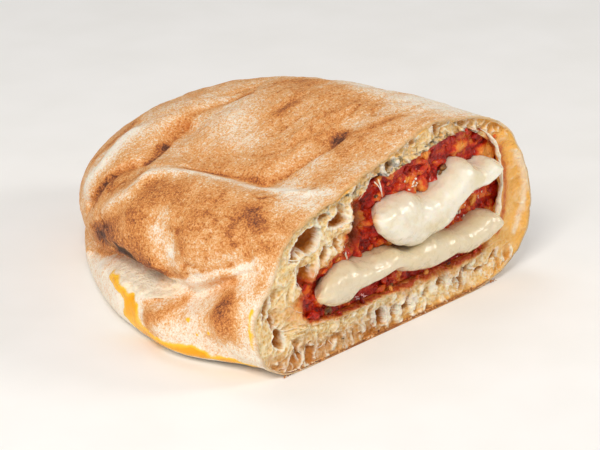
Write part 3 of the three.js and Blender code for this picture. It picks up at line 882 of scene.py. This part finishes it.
# The cut's front. Bubbles: cell in mm, least and most radius and share of cells, depth, seed. Holes: x, z,
# half width, half height, depth and tilt in degrees. Ledges stand forward in the same way. Soaked: strength,
# radius, x, z.
crumbFace = {
    "columns": 1000,
    "rows": 80,
    "inset": 0.5,
    "back": 14,
    "outerDepths": (14, 12, 10, 8, 6, 4.5, 3, 1.5),
    "wallLip": 5,  # how far the wall on the right leans over the filling at the cut
    "bubbles": [
        (7.5, 0.2, 0.42, 0.32, 0.95, 101), (4, 0.26, 0.5, 0.55, 0.8, 211), (2.2, 0.4, 0.68, 0.95, 0.55, 307),
    ],
    "holes": [
        (-43, 47.2, 8.4, 4.5, 9.5, 18), (-26.5, 51, 4.2, 2.8, 6, 15), (-33.5, 55, 2.6, 1.5, 3, 10),
        (-19, 55.5, 2.4, 1.6, 3, 20), (-0.3, 64.4, 2.8, 2, 4.5, 20), (-42.5, 33, 3.6, 5.6, 7.5, 0),
        (-55, 15.4, 2.8, 4, 6, 0), (-58.5, 22, 1.6, 3, 3.5, 0), (-3.6, 7, 2.4, 3.6, 5, 0),
        (3.5, 6, 1.4, 3.2, 3.5, 0), (10.6, 7.2, 2.1, 3, 4.5, 0), (20.5, 7.5, 1.5, 2.4, 3, 0),
        (29, 9.4, 1.9, 2.4, 4, 0), (37.5, 8, 2, 1.6, 4, 10), (44.5, 9.5, 1.5, 2.2, 3.6, -10),
        (52, 7.2, 2.2, 1.5, 3.6, 15), (60, 11, 1.5, 1.8, 3, 30), (-7.4, 59.4, 4.2, 3.2, 6.5, 30),
        (-16.5, 48.5, 3.6, 7.5, 8.5, -10), (-32.7, 18.3, 4.4, 2.6, 5.5, 0), (-62.5, 28, 1.5, 5, 3, -10),
        (-33, 41, 2.2, 3, 3.5, 10),
    ],
    "ledges": [
        (-47.8, 42, 6.6, 1.3, 1.8, 14), (-37.2, 38.5, 1.2, 5, 1.5, 0), (-48.6, 33, 1.3, 7, 1.6, 4),
        (-52.5, 30, 1, 6, 1, -6), (-21.5, 52, 1.2, 5, 1.2, -12), (-57.5, 38, 1.4, 5, 1.2, 18),
    ],
    "soaked": [
        (0.8, 4.6, -41.5, 31), (0.55, 4, -38, 24.5), (0.35, 6, -48, 23), (0.3, 5, -33, 36), (0.3, 4, -57, 24),
        (0.25, 5, -24, 15), (0.5, 2.6, -44, 26), (0.5, 4, 42, 63), (0.45, 3.5, 60, 55), (0.5, 3, -14, 49),
        (0.25, 3, -8, 60), (0.35, 5, 10, 13), (0.3, 5, 36, 13),
    ],
    # along the wall on the right: strength, radius and path of the oil, and of the paler dough outside it
    "wallOil": (0.88, 2.5, [(52, 58.5), (61, 53.5), (64, 46), (64.6, 38), (64, 29), (60.5, 20)]),
    "wallPale": (0.5, 1.7, [(70.5, 17.5), (74.5, 25.5), (76, 33), (74.6, 42), (70, 49.5)]),
}


def frontMask(rings, values, rest, poles=0):
    # a mask with the given values on the first rows of a grid, and one resting value elsewhere
    mask = np.full(rings.shape[:2], float(rest))
    mask[: len(values)] = values
    return np.append(mask.ravel(), [rest] * poles)


def warp(flat, seed):
    # a pair of noises that pushes places about in the plane of the cut
    return asPoints(fractalNoise(flat, 5, 3, seed), fractalNoise(flat, 5, 3, seed + 1))


def crumbDepth(x, z, share, rimDistance, pocketDistance):
    # bubbles at three sizes, named holes as tilted bowls, ledges standing forward, and rounded edges
    flat = asPoints(x, z)
    warped = warp(flat, 51)
    low = smoothStep((18 - z) / 6) * smoothStep((x + 60) / 12)
    stretched = flat * asPoints(1 + 0.2 * low, 1 - 0.5 * low) + 1.7 * warped
    smooth = smoothStep((x - 50) / 9) * smoothStep((z - 8) / 6) * (1 - smoothStep((z - 55) / 9))
    porous = 1 - smooth * 0.85 - 0.4 * smoothStep((-26 - x) / 12) * smoothStep((z - 6) / 8)
    depth = np.zeros(x.shape)
    for size, smallest, largest, part, deep, seed in crumbFace["bubbles"]:
        bowls = deep * bubbleField(stretched, size, smallest, largest, part, seed)
        depth = np.maximum(depth, bowls) + 0.3 * np.minimum(depth, bowls)
    depth *= porous
    depth += 0.8 * fractalNoise(flat, 9, 3, 71)
    depth += 0.16 * fractalNoise(flat * np.array([1.4, 0.8]), 2.4, 2, 73) * porous
    for group in ("holes", "ledges"):
        for hx, hz, halfWidth, halfHeight, far, tilt in crumbFace[group]:
            c, s = np.cos(np.radians(tilt)), np.sin(np.radians(tilt))
            dx, dz = x - hx + warped[..., 0], z - hz + warped[..., 1]
            away = np.hypot((dx * c + dz * s) / halfWidth, (dz * c - dx * s) / halfHeight)
            if group == "holes":
                bowl = far * np.sqrt(np.maximum(0, 1 - away**2))
                depth = np.where(bowl > 0, np.maximum(depth, bowl + 0.35 * depth), depth)
            else:
                depth = depth * (1 - 0.85 * bell(away, 1)) - 0.6 * far * bell(away, 1)
    depth *= smoothStep(rimDistance / 1.1)
    torn = 0.9 * fractalNoise(flat, 2.6, 2, 97)
    return depth + 1.2 * np.sin(np.pi * share) + (1.6 + torn) * bell(pocketDistance, 1.2)


def standingForward(depth):
    # how far each place of the front stands before the mean of its neighbours: the crests between pores
    total = np.zeros(depth.shape)
    rows = np.arange(depth.shape[0])
    for up in range(-3, 4):
        moved = depth[np.clip(rows + up, 0, len(rows) - 1)]
        total += sum(np.roll(moved, side, axis=1) for side in range(-6, 7, 2))
    return total / 49 - depth


def crumbMasks(x, z, level, forward, rimDistance, pocketDistance):
    # sums of bells: oil by the pocket and round soaked places, warm colour by the rim, a painted highlight on
    # the crests and paler dough by the right wall, and painted shade in the pores and towards the bottom
    # left;
    # each mask goes with its value on the hidden sides
    uneven = fractalNoise(asPoints(x, z), 4, 2, 8)
    soak = 0.95 * bell(pocketDistance + 1.3 * uneven, 1.8) + 0.25 * bell(pocketDistance + 2 * uneven, 5)
    for strength, radius, sx, sz in crumbFace["soaked"]:
        soak += strength * bell(np.hypot(x - sx, z - sz) + 1.5 * uneven, radius)
    soak += 0.25 * uneven * bell(pocketDistance, 6)
    rightWall = smoothStep((x - 52) / 6) * smoothStep((z - 10) / 8) * smoothStep((60 - z) / 6)
    flat = asPoints(x, z) + 0.7 * uneven[..., None]
    bands = (crumbFace["wallOil"], crumbFace["wallPale"])
    oiled, paler = (s * bell(distanceToPath(flat, path), radius) for s, radius, path in bands)
    soak = soak * (1 - rightWall) + np.maximum(oiled, rightWall * 0.25 * uneven)
    edge = (0.9 * bell(rimDistance, 1.5) + 0.35 * bell(rimDistance, 5)) * smoothStep((x + 46) / 14)
    edge += 0.5 * smoothStep((x - 50) / 10) + 0.35 * rightWall + 0.3 * smoothStep((z - 52) / 8)
    return {
        # painted shade: darker with the depth of each pore, and towards the bottom left of the cut
        "depth": (np.clip(level / 5, 0, 1) + 0.5 * smoothStep((13 - z) / 8) * smoothStep((20 - x) / 30), 0.6),
        "soak": (soak, 0.8),
        "edge": (edge, 0.2),
        # painted highlight on the crests that stand forward, plus the paler dough by the right wall
        "pale": (np.clip(forward / 0.9, 0, 1) + paler, 0),
        "brown": (bell(rimDistance, 0.9) * smoothStep((3 - z) / 2), 0),
    }


def makeCrumb():
    # a closed ring of grid: pitted front from the rim to the pocket, pocket wall, back and outer wall
    columns, rows, back, inset = (crumbFace[key] for key in ("columns", "rows", "back", "inset"))
    outer = insetRings(crustSkin([0], columns), inset)[0]
    outerWalls = insetRings(crustSkin(crumbFace["outerDepths"], columns), inset)
    mouth = pocketRings([0], columns, 0)[0]
    lean = smoothStep((mouth[:, 0] - 44) / 14) * smoothStep((mouth[:, 2] - 12) / 8)
    lean = lean * smoothStep((68 - mouth[:, 2]) / 12) * crumbFace["wallLip"]
    mouth[:, 0] -= lean
    share = np.linspace(0, 1, rows)[:, None]
    x, z = (outer[None, :, k] * (1 - share) + mouth[None, :, k] * share for k in (0, 2))
    width = np.hypot(outer[:, 0] - mouth[:, 0], outer[:, 2] - mouth[:, 2])[None]
    rimDistance, pocketDistance = share * width, (1 - share) * width
    pits = crumbDepth(x, z, share, rimDistance, pocketDistance)
    front = asPoints(x, 0.15 + pits + raggedCut(outer)[None] * bell(rimDistance, 2.5), z)
    inward = np.linspace(0, 1, 9)[1:, None]
    innerY = front[-1, :, 1] * (1 - inward) + back * inward
    inner = pocketRings(innerY.mean(axis=1), columns, 0)
    inner[..., 1] = innerY
    inner[..., 0] -= lean * (1 - smoothStep(inward / 0.4))
    rings = np.concatenate([front, inner, (inner[-1:] + outerWalls[:1]) / 2, outerWalls])
    forward = standingForward(pits)
    fills = crumbMasks(x, z, pits - 1.2 * np.sin(np.pi * share), forward, rimDistance, pocketDistance)
    masks = {name: frontMask(rings, *fill) for name, fill in fills.items()}
    faces = gridFaces(len(rings), columns, closedRows=True)
    makePiece("crumbOfCut", rings, faces, crumbFinish, masks)
    return front, forward, rimDistance


crumbFront, crumbForward, crumbRimDistance = makeCrumb()
print("crumb made")


# Threads of stretched dough that join the crests between pores, and a few named ones: radius and path.
doughThreads = {
    "count": 100,
    "draws": 9000,
    "crests": (0.3, 1.5, 52),  # least height of a crest, least distance from the rim and greatest x
    "reach": (0.9, 3.4),
    "radius": (0.05, 0.15),
    "seed": 41,
    "stations": 14,
    "named": [
        (0.3, [(-5.4, 1.8, 60.4), (-4.6, 1.2, 57), (-3.2, 1.8, 53)]),
        (0.22, [(-7.4, 1.8, 60), (-5.6, 1.3, 57.8), (-4.4, 1.4, 55.6)]),
        (0.2, [(-12.6, 1.9, 59.2), (-13.6, 1.6, 57.4), (-15.2, 2, 55.6)]),
        (0.24, [(-47.4, 1.5, 40.4), (-48, 1.2, 36.4), (-47.4, 1.8, 31.4)]),
        (0.24, [(-53, 1.3, 44.6), (-48.4, 0.8, 43), (-43.6, 1.7, 41.8)]),
    ],
    # the thin skin of the dough's inner side, standing on edge along the right of the filling
    "membrane": (0.6, [(49, 1.2, 64.8), (55, 0.6, 59.8), (58.8, 0.2, 52.4), (60.6, 0, 42), (59.8, 0.1, 31),
        (57.6, 0.3, 23.4), (53.4, 1.4, 17.8)]),
}


def makeThreads():
    # each seeded thread joins two crests in reach of each other, thinner and sagging forward at its middle
    threads, count = doughThreads, doughThreads["count"]
    rng = np.random.default_rng(threads["seed"])
    least, fromRim, right = threads["crests"]
    crests = crumbFront[(crumbForward > least) & (crumbRimDistance > fromRim) & (crumbFront[..., 0] < right)]
    near = crests[rng.choice(len(crests), threads["draws"])]
    weight = smoothStep((30 - near[:, 0]) / 60) + 0.25
    start = near[rng.choice(len(near), count, p=weight / weight.sum(), replace=False)]
    gaps = np.linalg.norm(near[None] - start[:, None], axis=-1)
    end = near[np.argmin(np.abs(gaps - rng.uniform(*threads["reach"], count)[:, None]), axis=1)]
    t = np.linspace(0, 1, threads["stations"])
    bow = rng.normal(0, 0.22, (count, 1, 3)) * np.array([1, 0.3, 1]) - [0, 0.12, 0]
    paths = start[:, None] + (end - start)[:, None] * t[:, None] + bow * np.sin(np.pi * t)[:, None]
    paths[:, :, 1] += 0.25 * (2 * t - 1) ** 4
    radii = rng.uniform(*threads["radius"], count)[:, None] * (0.8 + 0.6 * (2 * t - 1) ** 6)
    named = [smoothCurve(path, threads["stations"], closed=False) for _, path in threads["named"]]
    namedRadii = np.array([r for r, _ in threads["named"]])[:, None] * (1.2 - 0.8 * t)
    points, faces = tubes(np.concatenate([paths, named]), np.concatenate([radii, namedRadii]))
    makePiece("doughThreads", points, faces, threadFinish)


def makeMembrane():
    # one flattened uneven tube along the pocket's right side
    radius, path = doughThreads["membrane"]
    curve = smoothCurve(path, 90, closed=False)
    curve[:, 0] += 0.5 * fractalNoise(curve, 5, 3, 55)
    t = np.linspace(-1, 1, 90)
    radii = radius * (1 - 0.85 * t**6) * (0.8 + 0.35 * fractalNoise(curve, 4, 2, 57))
    points, faces = tubes(curve[None], radii[None], sides=14)
    middle = np.append(np.repeat(curve[:, 1], 14), [curve[0, 1], curve[-1, 1]])
    points[0, :, 1] = middle + (points[0, :, 1] - middle) * 1.9
    makePiece("innerMembrane", points, faces, crumbFinish, {"pale": 0.7 + 0 * middle})


makeThreads()
makeMembrane()
print("threads made")


tomatoFilling = {
    "columns": 420,
    "rows": 70,
    "margin": 0.1,
    "recess": 3.2,
    "wallDepths": (6, 14, 30, 50, 70, 90, 108, 120, 126),
    "cave": (-15, 45.5, 5.5, 8.5, 6.5),  # x, z, half width, half height and extra depth of the empty corner
    "swellings": [(8, 0.3, 0.5, 0.7, 401), (4.4, 0.28, 0.5, 0.65, 503), (2.2, 0.26, 0.46, 0.5, 607)],
    "chunks": [(1, 5, 42, 61.5), (0.8, 4, 57, 53), (0.8, 6, 48, 35), (0.4, 4, 22, 13.5), (0.4, 3, -24, 36)],
    "pulp": {"count": 110, "radius": (0.9, 3), "seed": 71},
    "herbs": [(-20.3, 18.6, 1.1), (-31, 18, 1.3), (-29, 16.6, 0.9), (29.6, 54.6, 1.2), (27.6, 53.4, 0.8),
        (50, 41.5, 0.6), (-5, 53.6, 0.7), (3, 16.6, 0.6)],
}


def tomatoFront(x, z):
    # depth of the tomato behind the cut: soft swellings forward, noise, and the empty cave by the cheese
    flat = asPoints(x, z)
    warped = flat + 1.6 * warp(flat, 81)
    rise = np.zeros(x.shape)
    for size, smallest, largest, part, seed in tomatoFilling["swellings"]:
        swelling = bubbleField(warped, size, smallest, largest, part, seed)
        rise = np.maximum(rise, swelling) + 0.35 * np.minimum(rise, swelling)
    caveX, caveZ, halfWidth, halfHeight, deep = tomatoFilling["cave"]
    cave = bell(np.hypot((x - caveX) / halfWidth, (z - caveZ) / halfHeight), 1)
    rough = fractalNoise(flat, 3, 3, 93)
    wide = 0.8 * fractalNoise(flat, 12, 2, 91)
    y = tomatoFilling["recess"] + 1.6 - 0.75 * rise + wide + 0.5 * rough + deep * cave
    pulp = 0.36 + 0.12 * rise + 0.14 * rough
    for strength, radius, chunkX, chunkZ in tomatoFilling["chunks"]:
        pulp = pulp + 0.3 * strength * bell(np.hypot(x - chunkX, z - chunkZ), radius)
    return y, pulp, cave


def makeTomato():
    # the front grows from the middle of the mouth to its wall, then the wall runs back
    columns, rows, margin, recess = (tomatoFilling[key] for key in ("columns", "rows", "margin", "recess"))
    centreX, centreZ = fillingPocket["centre"]
    walls = pocketRings(tomatoFilling["wallDepths"], columns, margin + 0.35)
    mouth = pocketRings([recess], columns, margin)[0]
    share = (np.arange(1, rows + 1) / rows)[:, None] ** 0.8
    x = centreX + (mouth[None, :, 0] - centreX) * share
    z = centreZ + (mouth[None, :, 2] - centreZ) * share
    y, pulp, cave = tomatoFront(x, z)
    y = y * (1 - share**8) + (recess + 0.6) * share**8
    rings = np.concatenate([asPoints(x, y, z), walls])
    poles = [[centreX, recess + 1, centreZ], [centreX, fillingPocket["length"] - 1, centreZ]]
    points, faces = np.vstack([rings.reshape(-1, 3), poles]), gridFaces(len(rings), columns, poles=True)
    # the cave mask also carries the painted shade of the empty corner
    masks = {"pulp": frontMask(rings, pulp, 0.45, 2), "cave": frontMask(rings, cave, 0, 2)}
    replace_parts(makePiece("crushedTomato", points, faces, tomatoFinish, masks), "tomato_filling")


makeTomato()
print("tomato made")


# Each layer's outline at the cut as x, lower z and upper z, and how far it stands forward and runs back.
mozzarellaLayers = {
    "upperMozzarella": {
        "node": "mozzarella_upper",
        "outline": [(-12.5, 46.4, 49.2), (-9.5, 41.2, 50.6), (-3, 36.2, 51.2), (4.7, 31.8, 50.8),
            (12, 29.7, 49.4), (18, 31.3, 48.5), (24, 32.4, 51), (30, 33.6, 53.4), (34.5, 38, 56.2),
            (38, 41.6, 55.8), (42.5, 43, 52.4), (46, 43.4, 52.2), (50, 44.2, 53.4), (54.8, 46, 51.6),
            (57, 48.6, 50.6)],
        "front": 6,
        "back": 96,
        "seed": 15,
        "paintedCheeseShade": 0,
    },
    "lowerMozzarella": {
        "node": "mozzarella_lower",
        "outline": [(-41.5, 25.2, 27.2), (-38, 22.4, 30.2), (-33, 20.3, 32.6), (-28, 19.2, 33.9),
            (-22.8, 19.8, 33.9), (-16, 22.5, 32.7), (-9, 22.9, 32.7), (-2.8, 23.6, 32), (5, 22.4, 31),
            (12, 19.8, 30.2), (18.8, 18.4, 31.6), (25, 18.2, 31), (32, 19.8, 29.3), (38, 18.8, 28.7),
            (44, 17.9, 29.6), (50, 18.6, 30.8), (55, 20.8, 30.3), (58, 23.8, 28), (59.2, 25.4, 26.8)],
        "front": 5,
        "back": 104,
        "seed": 29,
        # painted shade over the whole lower layer, which lies in the upper one's shadow
        "paintedCheeseShade": 0.85,
    },
}
mozzarellaMesh = {"columns": 260, "noseRows": 60, "tailRows": 50, "lip": 7}  # lip: where the front rounds off


def makeMozzarella(name, layer):
    # rings round the layer's outline: a half ellipse at the front lip, a slow taper to the back
    columns, noseRows, tailRows, lip = mozzarellaMesh.values()
    turn = np.arange(columns) / columns * 2 * np.pi
    nose = np.sin(np.arange(1, noseRows + 1) / noseRows * np.pi / 2)
    tail = np.sin(np.arange(1, tailRows) / tailRows * np.pi / 2) ** 1.5
    front, back = layer["front"], layer["back"]
    inLip = np.append(1 - np.sqrt(1 - np.minimum(nose, 1) ** 2), np.ones(tailRows - 1))[:, None]
    inTail = np.append(np.zeros(noseRows), tail)[:, None]
    size = np.append(nose, superellipse(tail, 4))[:, None]
    y = -front + lip * inLip + inTail * (back + front - lip)
    outline = smoothCurve(layer["outline"], 600, closed=False)
    across = 0.5 - 0.5 * np.cos(turn)[None] * (0.8 + 0.2 * size)
    x, low, high = (np.interp(across, np.linspace(0, 1, 600), outline[:, k]) for k in range(3))
    ends = np.minimum(1, np.abs(np.sin(turn)) * 2.2)[None] ** 0.5  # rounds the two ends of the layer
    middle, thick = (low + high) / 2, (high - low) / 2 * ends
    level = (outline[:, 1].mean() + outline[:, 2].mean()) / 2
    side = np.sign(np.sin(turn))[None]
    z = middle * (1 - inTail) + level * inTail + side * thick * (1 - 0.25 * inTail) * size
    x = x + (1 - across) ** 3 * np.clip(y + 2, 0, 12)  # the near end draws back into the filling
    rings = asPoints(x, y, z)
    ripple = 0.85 * fractalNoise(rings * np.array([1, 0.6, 1]), 8, 2, layer["seed"])
    ripple += 0.26 * fractalNoise(rings, 3, 2, layer["seed"] + 5)
    rings = rings + gridNormals(rings) * (ripple * smoothStep(size / 0.5) * ends)[..., None]
    faces = gridFaces(len(rings), columns) + [face[::-1] for face in zipFaces(0, columns)]
    faces += zipFaces((len(rings) - 1) * columns, columns)
    deep = rings[..., 1]
    rim = 0.85 * bell(rings[..., 0] - layer["outline"][0][0], 2.8) * smoothStep((deep + 5) / 3)
    # painted shade: greyer along the upper and lower rims, plus the layer's own painted shade
    paintedCheeseShade = 0.6 * bell(np.abs(rings[..., 2] - middle) / thick.clip(0.5) - 1, 0.3) + layer["paintedCheeseShade"]
    masks = {"stain": 0.75 * smoothStep((deep - 2.5) / 4) + rim, "paintedCheeseShade": paintedCheeseShade}
    piece = makePiece(name, rings, faces, mozzarellaFinish, masks)
    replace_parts(piece, layer["node"])


for name, layer in mozzarellaLayers.items():
    makeMozzarella(name, layer)
print("mozzarella made")


def clearOfCheese(x, z, margin):
    # true where a place of the cut lies outside both layers' outlines by the margin
    clear = np.ones(x.shape, bool)
    for layer in mozzarellaLayers.values():
        outline = np.array(layer["outline"])
        low, high = (np.interp(x, outline[:, 0], outline[:, k]) for k in (1, 2))
        within = (x > outline[0, 0] - margin) & (x < outline[-1, 0] + margin)
        clear &= ~(within & (z > low - margin) & (z < high + margin))
    return clear


def makePulp():
    # seeded bits of tomato half sunk in the filling's front, dark skin to orange flesh, clear of the cheese
    pulp = tomatoFilling["pulp"]
    rng = np.random.default_rng(pulp["seed"])
    draws = pulp["count"] * 3
    mouth = pocketRings([tomatoFilling["recess"]], 360, 0.2)[0]
    edge = mouth[rng.integers(0, 360, draws)]
    centreX, centreZ = fillingPocket["centre"]
    share = np.sqrt(rng.uniform(0.02, 1, draws))
    x = centreX + (edge[:, 0] - centreX) * share
    z = centreZ + (edge[:, 2] - centreZ) * share
    least, most = pulp["radius"]
    radius = least + (most - least) * rng.uniform(0, 1, draws) ** 2.2
    y, tone, cave = tomatoFront(x, z)
    y = y + (1.4 - y) * smoothStep((share - 0.9) / 0.1)  # bits at the edge lie on the dough
    chosen = np.flatnonzero(clearOfCheese(x, z, 0.8 * radius) & (cave < 0.15))[: pulp["count"]]
    x, y, z, radius, tone = (values[chosen] for values in (x, y, z, radius, tone))
    radii = radius[:, None] * rng.uniform([0.8, 0.4, 0.45], [1.5, 0.65, 0.8], (len(x), 3))
    points, faces = lumps(asPoints(x, y + 0.3 * radii[:, 1], z), radii, 0.25, 73, rows=16, columns=24)
    masks = {"pulp": np.repeat(tone + rng.uniform(-0.16, 0.3, len(x)), points.shape[1])}
    makePiece("tomatoPulp", points, faces, tomatoFinish, masks)


def makeHerbs():
    # a few dark flecks lying on the front of the filling
    x, z, radius = np.array(tomatoFilling["herbs"]).T
    centres = asPoints(x, tomatoFront(x, z)[0] - 1.4, z)
    points, faces = lumps(centres, radius[:, None] * np.array([1.2, 0.5, 0.8]), 0.7, 79)
    makePiece("herbFlecks", points, faces, herbFinish)


# Bits of melted cheese on the tomato, partly painted highlights: count, reach in mm, x and z of each group's
# middle.
cheeseFlecksAndGlints = {
    "groups": [(9, 6.5, 48, 38), (6, 3, 9.5, 30.2), (7, 4.5, 14, 53), (6, 4, -22, 37), (6, 5, 40, 33)],
    "radius": (0.22, 0.6),
    "seed": 83,
}


def makeFlecksAndGlints():
    # small uneven lumps strewn round each group's middle, on the front of the filling and clear of the layers
    rng = np.random.default_rng(cheeseFlecksAndGlints["seed"])
    groups = [rng.normal(0, reach / 2, (count, 2)) + [x, z] for count, reach, x, z in cheeseFlecksAndGlints["groups"]]
    places = np.concatenate(groups)
    x, z = places[clearOfCheese(*places.T, 0.1)].T
    radii = rng.uniform(*cheeseFlecksAndGlints["radius"], (len(x), 1))
    radii = radii * rng.uniform([0.8, 0.4, 0.5], [2, 0.8, 1], (len(x), 3))
    points, faces = lumps(asPoints(x, tomatoFront(x, z)[0] - 0.5, z), radii, 0.5, 85)
    # the white lumps are partly painted highlights on the filling
    makePiece("mozzarellaFlecksAndGlints", points, faces, threadFinish)


# Crumbs of browned crust along the base of the cut.
baseCrumbs = {"count": 150, "from": -58, "to": 60, "radius": (0.18, 0.5), "seed": 91}


def makeBaseCrumbs():
    # small uneven lumps strewn along the lower edge of the cut, some before it and some a little up the crumb
    crumbs, count = baseCrumbs, baseCrumbs["count"]
    rng = np.random.default_rng(crumbs["seed"])
    x, radius = rng.uniform(crumbs["from"], crumbs["to"], count), rng.uniform(*crumbs["radius"], count)
    z = np.maximum(1.5 * radius, np.abs(rng.normal(0, 0.7, count)) + 0.2)
    y = rng.normal(0.15, 0.15, count) + 0.25 * z
    radii = radius[:, None] * rng.uniform(0.6, 1.2, (count, 3))
    points, faces = lumps(asPoints(x, y, z), radii, 0.5, 93, rows=5, columns=8)
    bake = np.repeat(rng.uniform(0.3, 0.9, count), points.shape[1])
    makePiece("crustCrumbs", points, faces, crustFinish, {"bake": bake})


makePulp()
makeHerbs()
makeFlecksAndGlints()
makeBaseCrumbs()
print("small pieces made")


# Watts, size and colour of each soft lamp, from its place, in metres.
studio = {
    "eye": (-0.6161, -0.6219, 0.3963),
    "aim": (0.0065, -0.015, 0.021),
    "lens": 150,
    "sensor": 36,
    "clipEnd": 20,
    "board": 4,  # half width
    "lampAim": (0, 0, 0.03),
    "world": 0.33,
    "lamps": {
        "key": ((-0.8, -0.45, 0.85), 0.35, 6.9, "#FFF8EE"),
        "spark": ((-0.62, -0.62, 0.95), 0.09, 1.5, "#FFFFFF"),
        "side": ((0.65, -0.75, 0.6), 0.3, 3.3, "#FFFAF2"),
        "low": ((-0.9, 0.1, 0.3), 0.5, 1.3, "#FFFFFF"),
        "top": ((0.15, 0.35, 0.95), 0.5, 1.5, "#FFFFFF"),
    },
}


def aimAt(holder, place, target):
    # the object's own -Z looks from its place to the target, with +Y up
    holder.location = place
    holder.rotation_euler = (Vector(target) - Vector(place)).to_track_quat("-Z", "Y").to_euler()
    bpy.context.scene.collection.objects.link(holder)


def addStudio():
    # a wide white board under the food, a soft white room, the lamps and the camera
    floorMesh = bpy.data.meshes.new("floor")
    half = studio["board"]
    corners = [(-half, -half, 0), (half, -half, 0), (half, half, 0), (-half, half, 0)]
    floorMesh.from_pydata(corners, [], [(0, 1, 2, 3)])
    floorMesh.materials.append(makeFinish({
        "name": "matt white board",
        "noises": {"wide": (40, 2, 0.5)},
        "sums": {"tone": {"wide": 1.0}, "height": {"wide": 1}},
        "base": {"tone": 0.2},
        "tone": [(0, "#F7F6F4"), (0.4, "#FBFAF9")],
        "relief": 0.01,
        "shader": {"Roughness": 0.9, "Specular IOR Level": 0.1},
    }))
    floor = bpy.data.objects.new("floor", floorMesh)
    bpy.context.scene.collection.objects.link(floor)
    world = bpy.data.worlds.new("soft white room")
    world.use_nodes = True
    background = world.node_tree.nodes["Background"]
    background.inputs["Color"].default_value = (1, 1, 1, 1)
    background.inputs["Strength"].default_value = studio["world"]
    bpy.context.scene.world = world
    for name, (place, size, watts, colour) in studio["lamps"].items():
        lamp = bpy.data.lights.new(name, "AREA")
        lamp.size, lamp.energy, lamp.color = size, watts, linearColour(colour)[:3]
        aimAt(bpy.data.objects.new(name, lamp), place, studio["lampAim"])
    camera = bpy.data.cameras.new("camera")
    camera.lens, camera.sensor_width, camera.clip_end = (studio[key] for key in ("lens", "sensor", "clipEnd"))
    holder = bpy.data.objects.new("camera", camera)
    aimAt(holder, studio["eye"], studio["aim"])
    bpy.context.scene.camera = holder
    bpy.context.scene.view_settings.view_transform = "Standard"


addStudio()
print("studio made")
